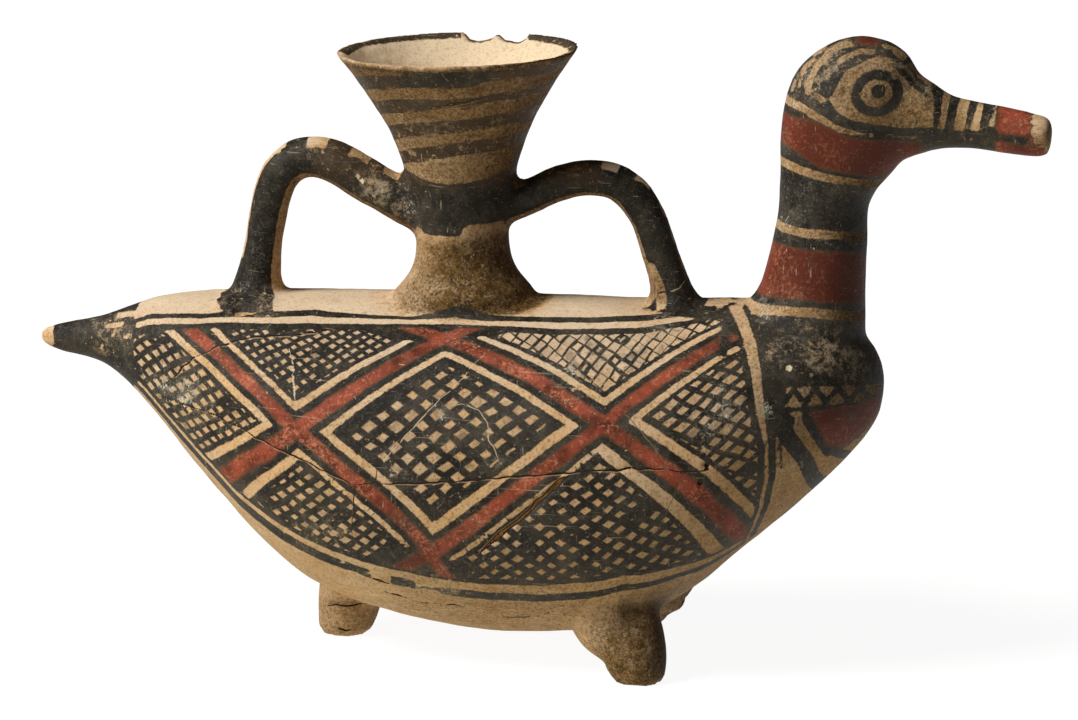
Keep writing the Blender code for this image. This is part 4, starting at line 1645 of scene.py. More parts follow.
# The eye: its middle, how much flatter its ring is than round, the ring's black and buff, and the pupil
EYE = (100.0, 174.6)
EYE_FLATNESS = 1.11
EYE_RING_OUTER = 7.5
EYE_RING_INNER = 4.2
EYE_BUFF = 4.4
PUPIL = (100.4, 175.1)
PUPIL_RADIUS = 2.15

# Bare strokes on the crown: path and width in mm; the glint goes over the pupil
CROWN_STROKES = (
    (((79.6, 173.8), (80.2, 177.5), (82.3, 181.5), (85.5, 185.4), (88.8, 187.4), (92.2, 188.0)), 1.7),
    (((76.6, 174.9), (77.6, 179.5), (80.8, 182.3)), 1.0),
    (((74.4, 173.0), (75.0, 176.0)), 0.8),
    (((80.2, 183.4), (83.3, 185.6)), 1.0),
    (((88.2, 182.9), (91.1, 184.9), (94.6, 185.9), (98.0, 186.0)), 1.3),
    (((85.6, 181.0), (85.1, 178.2)), 0.9),
    (((103.7, 186.2), (107.0, 184.2)), 1.3),
    (((108.6, 182.3), (111.4, 178.7), (115.0, 176.0)), 0.7),
    (((99.2, 187.8), (102.4, 186.9)), 0.8),
    (((114.4, 174.4), (115.4, 173.8)), 0.9),
)
GLINT = ((94.6, 174.6), (97.0, 174.9))
GLINT_WIDTH = 0.5
CROWN_PATCH = ((80.8, 174.2), (83.1, 173.6), (86.4, 172.4), (83.8, 171.2))
CROWN_RED = ((91.9, 189.6), (99.8, 189.6), (99.0, 187.2), (96.7, 187.2), (92.4, 187.7))


def paint_head(work):
    """Red cheeks, black crown with buff arcs, and the ringed eye in its buff field."""
    view = work.side_view
    level = neck_level(work)
    cheek_height = np.interp(work.x, *np.array(CHEEK_LINE).T)
    above_cheek = work.z - cheek_height
    on_head = both(work.x - 60.0, level - 151.0)
    rear = 1 - soft_step(work.x, 74.0, 85.0)
    work.lay_black(both(on_head, 117.5 - work.x))
    cheek = both(level - 151.4 - 2.4 * rear, -above_cheek - 1.2 - 2.4 * rear, work.x - 60.0)
    work.lay_red(both(cheek, 121.0 - work.x))
    gap, _ = from_path(view, CHEEK_LINE)
    width = np.interp(work.x, *np.array(CHEEK_WIDTHS).T)
    work.leave_bare(both(line(gap, width), work.x - 60.0))
    for path, width in CROWN_STROKES:
        gap, _ = from_path(view, path)
        work.leave_bare(both(line(gap, width), on_head))
    work.leave_bare(both(patch(view, CROWN_PATCH), on_head))
    work.leave_bare(both(patch(view, FACE_FIELD), on_head))
    gap = np.hypot(work.x - EYE[0], (work.z - EYE[1]) * EYE_FLATNESS)
    work.lay_black(both(EYE_RING_OUTER - gap, gap - EYE_RING_INNER, on_head))
    work.leave_bare(both(EYE_BUFF - gap, on_head))
    gap = np.hypot(work.x - PUPIL[0], work.z - PUPIL[1])
    work.lay_black(both(PUPIL_RADIUS - gap, on_head))
    gap, _ = from_path(view, GLINT)
    work.leave_bare(both(line(gap, GLINT_WIDTH), on_head))
    gap, _ = from_path(view, MOUTH_LINE)
    work.lay_black(both(line(gap, MOUTH_LINE_WIDTH), work.x - 60.0, 135.5 - work.x))
    work.lay_red(both(patch(view, CROWN_RED), on_head))


# Black bars on the upper bill: where each begins and ends, at the top and at the mouth, in mm
BILL_BARS = (
    (116.2, 118.5, 116.2, 117.9),
    (120.4, 123.1, 119.5, 122.3),
    (126.0, 128.3, 125.4, 127.0),
    (129.8, 133.1, 129.6, 131.8),
)

# Where the bill's paint begins, its mouth's height and its top's above that, and the red tip with its bar
BILL_START = 115.0
BILL_MOUTH_Z = 164.0
BILL_TOP_REACH = 7.0
BEAK_TIP_X = 134.3
TIP_BAR = ((134.5, 162.4), (142.8, 161.2))
TIP_BAR_HALF = 1.2


def paint_beak(work):
    """Slanted bars of black on the upper bill, a red tip and a black lower bill."""
    mouth = 163.9 + 1.5 * soft_step(work.x, 129.0, 131.5) - 0.06 * np.maximum(work.x - 133.0, 0.0)
    upper = both(work.z - mouth, work.x - BILL_START)
    up = (work.z - BILL_MOUTH_Z) / BILL_TOP_REACH
    work.leave_bare(both(upper, work.x - 116.4, 134.6 - work.x))
    for top_start, top_end, low_start, low_end in BILL_BARS:
        start = low_start + (top_start - low_start) * up
        end = low_end + (top_end - low_end) * up
        work.lay_black(both(upper, work.x - start, end - work.x))
    work.lay_black(both(mouth - work.z, work.x - 113.0, 134.8 - work.x, work.z - 157.0))
    tip = work.x - BEAK_TIP_X
    work.lay_red(tip)
    bar, _ = from_path(work.side_view, TIP_BAR)
    work.lay_black(both(TIP_BAR_HALF - bar, tip + 1.0))
    gap = np.hypot(work.x - 150.0, (work.z - 166.0) * 0.7)
    work.leave_bare(5.6 - gap + 2.2 * ripple(work.points, 1.7, 9))


# The two lines that wind down the cup, in mm: how far apart, the fall in a turn, where the lowest begins
STRIPE_PITCH = 7.65
STRIPE_FALL = 15.3
STRIPE_START = 39.6
STRIPE_HALF = 2.1


def paint_funnel(work):
    """Two lines that wind down the cup together, the black zone at the handles and the black lip."""
    height, radius, angle = funnel_place(work.points)
    outside = both(radius - funnel_radius(height) + 2.2, height - 4.0, 60.0 - radius)
    turn = np.mod(angle, 2 * math.pi)
    level = height - STRIPE_FALL / (2 * math.pi) * turn + 2.0 * np.sin(turn)
    step = (level - STRIPE_START) / STRIPE_PITCH
    nearest = np.round(step)
    thick = STRIPE_HALF + 0.45 * ripple(work.points, 7.0, 6)
    thick = np.where(nearest == 2, thick - 0.9 * soft_step(turn, 4.3, 4.9), thick)
    stripe = thick - abs(step - nearest) * STRIPE_PITCH
    among = both((nearest + 0.4) * 9.0, (3.4 - nearest) * 9.0)
    work.lay_black(both(stripe, among, outside, 78.0 - height))
    front_patch = soft_step(turn, 4.35, 4.6) * (1 - soft_step(turn, 5.0, 5.3))
    work.lay_black(both(outside, 78.6 - height, height - 73.4 - (1 - front_patch) * 9.0))
    rise = 4.0 * np.cos(turn) ** 2
    tongue = 3.4 * soft_step(turn, 3.4, 4.2) * (1 - soft_step(turn, 4.78, 4.98))
    work.lay_black(both(outside, height - 29.8 + tongue, 42.5 + rise - height))
    top = FUNNEL_HEIGHT / MM
    work.leave_bare(both(height - top + 1.5, 50.0 - radius))
    ragged = line(height - top + 2.3, 0.8) + 0.7 * ripple(work.points, 1.5, 14)
    work.lay_black(both(ragged, outside, -work.y - 4.0))
    far = radius * np.sin(angle)
    edge = both(height - top + 1.4, 50.0 - radius, far + 4.0)
    whole = 1.5 - 9.0 * soft_step(broken(radius * np.cos(angle), angle), 0.0, 0.6)
    work.lay_black(both(edge, whole, funnel_radius(height) - 0.9 - radius))


# Each handle's ladder: its pitch and start along the roll, and where the handle's crest is, in mm
LADDERS = ((11.0, 3.0, -75.0), (8.2, 1.0, 26.0))
WAY_STEP = 0.6

# Angle round the roll, from its outer face, where the bare inside of the loops begins, in degrees
BARE_INSIDE = 132.0

# Corners of the black blobs at the handles' feet and of the bare clay inside the front handle, in mm
REAR_BLOB = ((-95.5, 104.0), (-90.6, 100.4), (-76.0, 101.6), (-79.5, 107.5), (-91.0, 108.5))
FRONT_BLOB = ((40.7, 112.2), (44.0, 112.6), (50.5, 108.2), (46.8, 107.0), (42.5, 108.4))
FRONT_BARE = ((33.0, 120.5), (35.4, 119.5), (38.6, 113.5), (39.8, 107.5), (37.0, 106.6))


def paint_handles(work, form_sizes):
    """Black sides, a ladder of black and buff along the outer face, plain clay inside the loop."""
    height, radius, _ = funnel_place(work.points)
    clear = radius - funnel_radius(height) - 0.4
    for (_, base_x, rise, places), (ladder, start, crest) in zip(HANDLES, LADDERS):
        path = np.array(handle_path(base_x, rise, places)) / MM
        fine = smooth_lines(path[:, (0, 2)], HANDLE_ROWS)
        gap, along = from_path(work.side_view, fine)
        gaps = np.hypot(*np.diff(fine, axis=0).T)
        passed = np.concatenate(([0.0], np.cumsum(gaps)))
        spots = []
        for ahead in (-WAY_STEP, 0.0, WAY_STEP):
            spots.append([np.interp(along + ahead, passed, column) for column in fine.T])
        (last_x, last_z), (here_x, here_z), (next_x, next_z) = spots
        way_x = next_x - last_x
        way_z = next_z - last_z
        length = np.maximum(np.hypot(way_x, way_z), TINY)
        side = math.copysign(1.0, base_x - FUNNEL_X)
        outward = ((work.x - here_x) * way_z - (work.z - here_z) * way_x) / length * side
        round_handle = np.degrees(np.arctan2(abs(work.y), outward))
        thick = form_sizes.handle_thickness / MM
        here = both(thick * 0.85 - gap, clear, work.z - 106.5)
        work.lay_black(here)
        work.leave_bare(both(here, (round_handle - BARE_INSIDE) / 10))
        rung = abs(((along + start) / ladder) % 1.0 - 0.5) * ladder - ladder * 0.25
        beyond = (work.x - crest) * side
        width = 54.0 - 34.0 * soft_step(beyond, 0.0, 7.0) - 14.0 * soft_step(-beyond, 14.0, 24.0)
        width += 7.0 * ripple(work.points, 3.0, 11)
        work.leave_bare(both(here, (width - round_handle) / 9, rung, work.z - 113.0))
        rim = 33.0 + 9.0 * ripple(work.points, 4.0, 13) - 40.0 * (side > 0)
        work.leave_bare(both(here, (rim - round_handle) / 9, beyond - 1.0, work.z - 115.0))
    work.lay_black(both(patch(work.side_view, REAR_BLOB), abs(work.y) - 1.0))
    work.lay_black(patch(work.side_view, FRONT_BLOB))
    work.leave_bare(both(patch(work.side_view, FRONT_BARE), work.z - 106.6))


def spots_at(points, spots):
    """How strongly each point lies in the near side's spots, from zero to one."""
    strength = np.zeros(len(points))
    for x, z, radius, strong in spots:
        gap = np.hypot(points[:, 0] - x, points[:, 2] - z) / radius
        strength = np.maximum(strength, strong * np.exp(-gap * gap))
    return strength * soft_step(-points[:, 1], 0.0, 6.0)


def grime_and_shade_at(points, normals):
    """How brown the clay is made, above zero, from stains and grime and from painted shade under the belly,
    under the handles, round the stem, on the feet, in the crease above the rear foot and on the breast and
    neck away from the light; or how pale, below zero, from dust and from painted bounce light under the rear
    belly.
    """
    x, y, z = points.T
    height, radius, angle = funnel_place(points)
    # Painted shade: faces that look down are browned, more towards the breast
    under = soft_step(-normals[:, 2], 0.0, 0.8) * soft_step(118.0 - z, 0.0, 20.0)
    under = under * (0.10 + 0.48 * soft_step(x, -75.0, 5.0))
    near_stem = soft_step(30.0 - radius, 0.0, 8.0) * soft_step(height, 0.5, 6.0)
    # Brown stain and painted shade round the stem's foot, darkest on its side towards the breast, away from
    # the light
    stem_stain_and_shade = near_stem * soft_step(30.0 - height, 0.0, 8.0) * (0.98 + 0.62 * np.cos(angle + 0.5))
    # Painted shade on the outside of the cup, darker lower down and on its side towards the breast
    cup = 0.75 * soft_step(76.0 - height, 0.0, 30.0) * soft_step(height, 25.0, 35.0)
    cup = np.maximum(cup, 0.5 + 0.5 * soft_step(np.cos(angle), 0.0, 0.9)) * soft_step(height, 25.0, 35.0)
    cup = cup * soft_step(45.0 - radius, 0.0, 8.0) * soft_step(radius - funnel_radius(height), -3.0, -1.5)
    # Brown stain and painted shade on the front feet and on every foot near the floor
    feet_stain_and_shade = 1.1 * soft_step(28.0 - z, 0.0, 12.0) * soft_step(x, 16.0, 30.0) * soft_step(62.0 - x, 0.0, 8.0)
    feet_stain_and_shade = np.maximum(feet_stain_and_shade, 0.55 * soft_step(12.0 - z, 0.0, 3.0))
    # Painted shade on the breast, the front of the neck and the face, on the side away from the light
    front = 0.85 * soft_step(x, 50.0, 90.0) * soft_step(130.0 - x, 0.0, 10.0) * soft_step(z, 40.0, 100.0)
    neck = 0.40 * soft_step(x, 84.0, 96.0) * soft_step(z, 104.0, 112.0) * soft_step(152.0 - z, 0.0, 8.0)
    tip = 0.5 * soft_step(163.5 - z, -1.0, 1.0) * soft_step(x, 130.0, 140.0) * soft_step(149.0 - x, 0.0, 2.0)
    # Painted shade under the handles and under the cup
    loop_underside_shade = 0.95 * soft_step(-normals[:, 2], -0.2, 0.6) * soft_step(z, 106.0, 112.0)
    loop_underside_shade = loop_underside_shade * soft_step(60.0 - x, 0.0, 10.0)
    # Browner round the front handle's foot
    base = 0.8 * np.exp(-(((x - 38.0) / 7.0) ** 2) - ((z - 112.0) / 8.0) ** 2)
    smear = 0.9 * np.exp(-(((x + 30.0) / 9.0) ** 2) - ((z - 37.0) / 7.0) ** 2) * (y < 0)
    # Painted shade and a brown smear along the crease above the rear foot
    crease_shade = 0.9 * np.exp(-(((x + 56.0) / 9.0) ** 2) - ((z - 11.0 - 0.1 * (x + 56.0)) / 1.8) ** 2)
    lip = 1.1 * soft_step(height, 75.0, 77.0) * soft_step(80.0 - height, 0.0, 1.0) * (radius < 45.0)
    grime_and_shade = np.maximum.reduce((under, stem_stain_and_shade, cup, feet_stain_and_shade, front + neck, tip, loop_underside_shade, base, smear, crease_shade, lip))
    inside = soft_step(funnel_radius(height) - radius, 1.5, 2.5) * soft_step(height, 40.0, 60.0)
    inside = inside * (radius < 40.0)
    # Dust on the upward faces of the back
    dust_and_bounce_light = soft_step(normals[:, 2], 0.55, 0.95) * soft_step(60.0 - x, 0.0, 20.0)
    # Painted bounce light: the rear belly's downward faces are made paler
    belly_bounce_light = 0.5 * soft_step(-normals[:, 2], -0.1, 0.4) * soft_step(-22.0 - x, 0.0, 25.0)
    belly_bounce_light = belly_bounce_light * soft_step(z, 16.0, 26.0) * (z < 100.0)
    dust_and_bounce_light = np.maximum(dust_and_bounce_light * (1 - np.clip(grime_and_shade, 0.0, 1.0)), np.maximum(inside, belly_bounce_light))
    return np.clip(grime_and_shade, 0.0, 1.3) * (1 - inside) - dust_and_bounce_light * (1 + 0.1 * inside)


def store(mesh, name, *values):
    """Keeps three fields under a name, one vector for each point."""
    rows = np.ascontiguousarray(np.stack(values, axis=1), dtype=np.float32)
    mesh.attributes.new(name, "FLOAT_VECTOR", "POINT").data.foreach_set("vector", rows.ravel())


# Bare chips: the middle or the path of each, in mm, and its half width
BREAST_CHIP = (78.4, -28.2, 95.2)
CHIP_RADIUS = 1.1
HANDLE_FLAKE = ((-53.7, -6.6, 142.2), (-51.8, -7.0, 139.9))
FLAKE_HALF = 0.75
HANDLE_CURL = ((-80.0, -5.5, 133.5), (-76.9, -4.5, 133.0))
CURL_HALF = 0.5


def lay_brushwork(mesh, form_sizes, cracks):
    """Works out every painted field and keeps it on the mesh for the paint's material."""
    points = points_of(mesh)
    normals = normals_of(mesh)
    work = Brushwork(points, BodyLines())
    paint_body(work)
    paint_tail(work)
    paint_breast(work)
    paint_neck(work)
    paint_back(work)
    paint_head(work)
    paint_beak(work)
    paint_funnel(work)
    paint_handles(work, form_sizes)
    across, gap, half, _, pale = cracks.around(points).T
    chip = CHIP_RADIUS - np.linalg.norm(points - np.array(BREAST_CHIP), axis=1)
    flake = FLAKE_HALF - from_path(points, HANDLE_FLAKE)[0]
    curl = CURL_HALF - from_path(points, HANDLE_CURL)[0]
    bare = np.maximum.reduce((chip, flake, curl))
    store(mesh, "paint", work.black, work.red, work.trellis)
    store(mesh, "trellis_steps", *work.steps.T)
    store(mesh, "crack", across, gap, half)
    store(mesh, "marks", pale, bare, funnel_wear(points))
    crust, worn = spots_at(points, CRUST_SPOTS), spots_at(points, WORN_SPOTS)
    # Grime with painted shade, pale crust and worn spots, kept for the material
    store(mesh, "ageing_and_shade", grime_and_shade_at(points, normals), crust, worn)


def funnel_wear(points):
    """How much the cup's stripes have gone brown and thin, all but the black patch under the lip."""
    height, radius, angle = funnel_place(points)
    turn = np.mod(angle, 2 * math.pi)
    cup = soft_step(height, 38.0, 46.0) * soft_step(45.0 - radius, 0.0, 3.0)
    fresh = soft_step(height, 70.0, 72.0) * soft_step(turn, 4.2, 4.4) * (1 - soft_step(turn, 5.1, 5.3))
    return cup * (1 - fresh) * (0.55 + 0.45 * soft_step(turn, 4.6, 5.6))


class PaintNodes(Wiring):
    """Nodes of the clay's and the paint's look, with noise sized in millimetres on the piece itself."""

    def __init__(self, tree):
        super().__init__(tree)
        place = self.add("ShaderNodeTexCoord").outputs["Object"]
        scaled = self.add("ShaderNodeVectorMath", {0: place}, operation="SCALE")
        scaled.inputs["Scale"].default_value = 1 / MM
        self.in_mm = scaled.outputs[0]

    def grain(self, size, detail=2.0, rough=0.5, stretch=None):
        where = self.in_mm
        if stretch:
            where = self.make("ShaderNodeMapping", {"Vector": where, "Scale": stretch})
        node = self.add("ShaderNodeTexNoise", {"Vector": where, "Scale": 1.0 / size, "Detail": detail})
        node.inputs["Roughness"].default_value = rough
        return node.outputs[0]

    def between(self, value, low, high):
        node = self.add("ShaderNodeMapRange", {"Value": value, "From Min": low, "From Max": high})
        node.interpolation_type = "SMOOTHSTEP"
        return node.outputs[0]

    def mix(self, share, first, second):
        node = self.add("ShaderNodeMix", data_type="RGBA")
        self.feed(node.inputs["Factor"], share)
        self.feed(node.inputs["A"], first)
        self.feed(node.inputs["B"], second)
        return node.outputs["Result"]

    def fields(self, name):
        """The three painted fields that the mesh keeps under a name."""
        found = self.add("ShaderNodeAttribute", attribute_name=name).outputs["Vector"]
        return self.add("ShaderNodeSeparateXYZ", {"Vector": found}).outputs

    def hairlines(self, value, half):
        """Thin wandering lines where a noise value crosses its middle."""
        return self.between(self.size_of(self.minus(value, 0.5)), half, half * 0.3)

    def swing(self, value, reach):
        """A noise value turned into a push of about plus and minus half the reach."""
        return self.times(self.minus(value, 0.5), reach)


def trellis_opening(nodes, inside, ragged):
    """How open the trellis is at each place, and each cell's own three random shares."""
    steps = nodes.fields("trellis_steps")
    places = []
    for step, size in ((steps[0], 8.0), (steps[1], 7.0)):
        places.append(nodes.plus(step, nodes.swing(nodes.grain(size), 0.45)))
    cells = [nodes.sum("FLOOR", place) for place in places]
    cell = nodes.make("ShaderNodeCombineXYZ", {"X": cells[0], "Y": cells[1]})
    chance = nodes.add("ShaderNodeTexWhiteNoise", {"Vector": cell}, noise_dimensions="3D").outputs
    chances = nodes.add("ShaderNodeSeparateXYZ", {"Vector": chance[1]}).outputs
    gaps = []
    for place, corner, share, slope, start in zip(places, cells, chances, (0.30, 0.26), (0.42, 0.38)):
        off_middle = nodes.size_of(nodes.minus(nodes.minus(place, corner), 0.5))
        reach = nodes.times(steps[2], nodes.sloped(share, slope, start))
        gaps.append(nodes.minus(reach, off_middle))
    opening = nodes.plus(nodes.times(nodes.smaller(*gaps), 3.8), nodes.times(ragged, 0.5))
    missed = nodes.times(nodes.sum("LESS_THAN", chances[2], 0.07), 0.8)
    opening = nodes.minus(opening, missed)
    return nodes.smaller(opening, nodes.plus(inside, nodes.times(ragged, 1.6))), chances


def clay_tone(nodes, colours, grime_and_shade, dust_and_bounce_light):
    """Buff clay, paler with dust and painted bounce light, browner with grime and painted shade, with
    streaks, sand, blots and bright grains.
    """
    grain, between, mix, times = nodes.grain, nodes.between, nodes.mix, nodes.times
    clay = mix(times(between(grain(26.0, 3.0), 0.35, 0.65), 0.55), colours.clay_warm, colours.clay_light)
    clay = mix(times(dust_and_bounce_light, 0.75), clay, colours.clay_light)
    clay = mix(times(between(dust_and_bounce_light, 0.92, 1.1), 0.6), clay, CLAY_PALE)
    dull_patches = nodes.minus(grain(3.4, 5.0, 0.62), nodes.sloped(dust_and_bounce_light, 0.08, 0.47))
    clay = mix(times(between(dull_patches, 0.0, 0.2), 0.6), clay, colours.clay_dull)
    # Grime and painted shade brown the clay
    browned = times(grime_and_shade, times(grain(6.0, 4.0, 0.65), 1.5), clamp=True)
    clay = mix(browned, clay, colours.stain_and_shade_brown)
    streaks = between(grain(1.0, 4.0, 0.6, (0.06, 0.12, 0.34)), 0.50, 0.66)
    clay = mix(times(streaks, nodes.sloped(grime_and_shade, -0.22, 0.32)), clay, CLAY_PALE)
    sand_patches = nodes.minus(grain(0.9, 6.0, 0.80), nodes.sloped(grime_and_shade, -0.05, 0.515))
    sand_share = nodes.sloped(dust_and_bounce_light, -0.28, nodes.sloped(grime_and_shade, 0.10, 0.64))
    sand_tone = mix(times(grime_and_shade, 0.95), SAND_BROWN, STAIN_BROWN)
    clay = mix(times(between(sand_patches, 0.0, 0.08), sand_share), clay, sand_tone)
    blots = between(nodes.plus(grain(1.9, 4.0, 0.66), times(grime_and_shade, 0.10)), 0.64, 0.74)
    clay = mix(times(blots, grime_and_shade, 0.75), clay, STAIN_BROWN)
    bright_grains = between(grain(0.8, 3.0), 0.62, 0.74)
    return mix(times(bright_grains, 0.4), clay, CLAY_PALE)


def red_tone(nodes, colours, grime_and_shade, worn, red_field):
    """Red paint, deeper where it is thick, grimy or under painted shade, rubbed pale in patches and dark at
    its edges.
    """
    grain, between, mix, times = nodes.grain, nodes.between, nodes.mix, nodes.times
    tone = mix(between(grain(7.0, 4.0, 0.6), 0.38, 0.68), colours.red, RED_DEEP)
    tone = mix(times(between(grain(2.2, 5.0, 0.7), 0.47, 0.66), 0.45), tone, RED_DEEP)
    # Grime and painted shade deepen the red
    tone = mix(times(grime_and_shade, 1.35, clamp=True), tone, RED_DEEP)
    rub_patches = nodes.plus(grain(11.0, 3.0), times(worn, 0.2))
    rubbed = nodes.plus(grain(0.95, 4.0, 0.72), nodes.sloped(rub_patches, 0.5, -0.25))
    rub_share = nodes.sloped(grime_and_shade, -0.66, 0.76, clamp=True)
    tone = mix(times(between(rubbed, 0.52, 0.69), rub_share), tone, RED_RUBBED)
    return mix(times(between(red_field, 1.3, -0.3), 0.55), tone, BLACK_THIN)


def black_tone(nodes, colours, worn, faded):
    """Black paint under dust and haze, brown where it is thin, faded or worn."""
    grain, between, mix, times = nodes.grain, nodes.between, nodes.mix, nodes.times
    dusty = between(grain(5.0, 6.0, 0.74), 0.42, 0.70)
    haze = times(between(grain(19.0, 4.0, 0.6), 0.44, 0.66), 0.30)
    tone = mix(nodes.plus(times(dusty, 0.46), haze), colours.black, BLACK_DUSTY)
    thin_share = nodes.plus(nodes.sloped(worn, 0.60, 0.24), times(faded, 0.45))
    tone = mix(times(between(grain(3.0, 6.0, 0.66), 0.54, 0.72), thin_share), tone, BLACK_THIN)
    tone = mix(times(faded, 0.58), tone, BLACK_THIN)
    powder = between(grain(0.70, 4.0, 0.72), 0.56, 0.70)
    return mix(times(powder, 0.26), tone, DUST_GREY)


def aged(nodes, surface, clay, wear, crusted, worn, faded):
    """The painted surface with lost paint, clouds, scratches, crust and dust, its losses and its crust."""
    grain, between, mix, times, plus = nodes.grain, nodes.between, nodes.mix, nodes.times, nodes.plus
    amount = times(wear, 0.12)
    tired = plus(worn, faded)
    specks = between(plus(grain(0.9, 4.0, 0.68), plus(times(tired, 0.08), amount)), 0.72, 0.78)
    flakes = between(plus(grain(3.2, 6.0, 0.7), plus(times(tired, 0.13), amount)), 0.735, 0.77)
    lost = nodes.larger(times(specks, 0.7), times(flakes, 0.85))
    surface = mix(lost, surface, clay)
    cloud = between(plus(grain(3.0, 8.0, 0.86), times(worn, 0.12)), 0.56, 0.68)
    surface = mix(times(cloud, worn, 0.78), surface, CLOUD_TAN)
    scuffed = between(grain(13.0, 3.0), 0.50, 0.62)
    scratched = times(nodes.hairlines(grain(7.0, 5.0, 0.6), 0.0035), scuffed)
    surface = mix(times(scratched, 0.28), surface, DUST_GREY)
    long_scratches = nodes.hairlines(grain(23.0, 5.0, 0.62), 0.0016)
    surface = mix(times(long_scratches, 0.30), surface, DUST_GREY)
    strokes = between(grain(1.0, 3.0, 0.6, (0.045, 0.3, 1.5)), 0.66, 0.72)
    slants = between(grain(1.0, 3.0, 0.6, (0.9, 0.2, 0.12)), 0.68, 0.73)
    surface = mix(times(plus(strokes, slants), 0.26), surface, CLAY_PALE)
    deposit = between(plus(grain(1.6, 7.0, 0.80), times(crusted, 0.22)), 0.70, 0.76)
    surface = mix(times(deposit, 0.85), surface, CRUST)
    bloom = between(plus(grain(2.2, 5.0, 0.7), times(crusted, 0.25)), 0.62, 0.90)
    surface = mix(times(bloom, 0.35), surface, DUST_GREY)
    dots = between(grain(0.9, 1.0), 0.77, 0.80)
    return mix(times(dots, 0.7), surface, CRUST), lost, deposit


def cracked(nodes, surface, marks, ragged):
    """The surface with its cracks, dark with painted shadow and gold where a wide one is deepest, a painted
    highlight along their lower edges, the pale scratches and the bare chips.
    """
    between, mix, times = nodes.between, nodes.mix, nodes.times
    crack = nodes.fields("crack")
    gap = nodes.larger(nodes.size_of(crack[0]), nodes.minus(crack[1], CRACK_BLUR))
    into = nodes.plus(nodes.minus(crack[2], gap), times(ragged, 0.22))
    # Painted highlight on each crack's lower edge
    lit_edge = times(between(into, -0.34, -0.08), nodes.sum("LESS_THAN", crack[0], 0.0))
    lit_edge = times(lit_edge, nodes.sloped(marks[0], -0.55, 0.55))
    surface = mix(times(lit_edge, between(crack[2], 0.14, 0.28)), surface, CRACK_EDGE_HIGHLIGHT)
    # Painted shadow in each crack's core, gold where a wide crack is deepest
    depth_tone = mix(between(into, 0.30, 0.45), CRACK_SHADOW, CRACK_GOLD)
    crack_tone = mix(marks[0], depth_tone, CLAY_PALE)
    open_share = times(between(into, -0.08, 0.08), nodes.sloped(marks[0], -0.35, 1.0))
    surface = mix(open_share, surface, crack_tone)
    return mix(between(nodes.plus(marks[1], ragged), -0.1, 0.1), surface, CLAY_PALE)


def paint_material(colours):
    """Bare clay under black and red paint, with worn edges, specks, scratches, crust and cracks."""
    material = bpy.data.materials.new("Painted clay")
    material.use_nodes = True
    material.node_tree.nodes.clear()
    nodes = PaintNodes(material.node_tree)
    grain, between, mix, times, plus = nodes.grain, nodes.between, nodes.mix, nodes.times, nodes.plus
    painted = nodes.fields("paint")
    marks = nodes.fields("marks")
    ageing_and_shade = nodes.fields("ageing_and_shade")
    # Above zero the clay is browned by grime and painted shade, below zero paled by dust and painted bounce
    # light
    grime_and_shade = nodes.larger(ageing_and_shade[0], 0.0)
    dust_and_bounce_light = nodes.larger(times(ageing_and_shade[0], -1.0), 0.0)
    crusted, worn, faded = ageing_and_shade[1], ageing_and_shade[2], marks[2]

    ragged = plus(nodes.swing(grain(1.7, 3.0), 0.85), nodes.swing(grain(0.5), 0.35))
    opening, chances = trellis_opening(nodes, painted[2], ragged)
    red_field = plus(painted[1], plus(ragged, nodes.swing(grain(4.0, 3.0), 1.0)))
    black = between(nodes.smaller(plus(painted[0], ragged), times(opening, -1.0)), -0.18, 0.22)
    red = between(red_field, -0.60, 0.60)

    clay = clay_tone(nodes, colours, grime_and_shade, dust_and_bounce_light)
    in_trellis = between(painted[2], -0.2, 0.6)
    smudged = between(plus(grain(6.0, 4.0, 0.6), times(in_trellis, 0.03)), 0.58, 0.72)
    surface = mix(times(in_trellis, times(chances[0], 0.26)), clay, BLACK_THIN)
    surface = mix(times(smudged, in_trellis, 0.6), surface, BLACK_DUSTY)
    surface = mix(black, surface, black_tone(nodes, colours, worn, faded))
    surface = mix(red, surface, red_tone(nodes, colours, grime_and_shade, worn, red_field))
    smear = between(grain(12.0, 3.0), 0.60, 0.74)
    surface = mix(times(smear, red, 0.45), surface, BLACK_DUSTY)
    surface, lost, deposit = aged(nodes, surface, clay, colours.wear, crusted, worn, faded)
    surface = cracked(nodes, surface, marks, ragged)

    relief = times(nodes.larger(black, red), nodes.minus(0.05, times(lost, 0.05)))
    relief = plus(relief, times(grain(0.5, 4.0, 0.6), 0.10))
    relief = plus(relief, times(grain(3.2, 3.0), 0.22))
    relief = plus(relief, times(grain(1.0, 3.0, 0.6, (0.07, 0.3, 1.1)), 0.14))
    relief = plus(relief, times(deposit, 0.10))
    relief = plus(relief, times(grain(2.6, 5.0, 0.7, (0.5, 1.0, 0.6)), grime_and_shade, 0.45))
    bump = nodes.make("ShaderNodeBump", {"Height": relief, "Distance": MM, "Strength": 0.9})

    shader = nodes.add("ShaderNodeBsdfPrincipled", {"Base Color": surface, "Normal": bump})
    nodes.feed(shader.inputs["Roughness"], nodes.sloped(black, -0.20, 0.86))
    shader.inputs["Specular IOR Level"].default_value = 0.2
    nodes.add("ShaderNodeOutputMaterial", {"Surface": shader.outputs[0]})
    return material


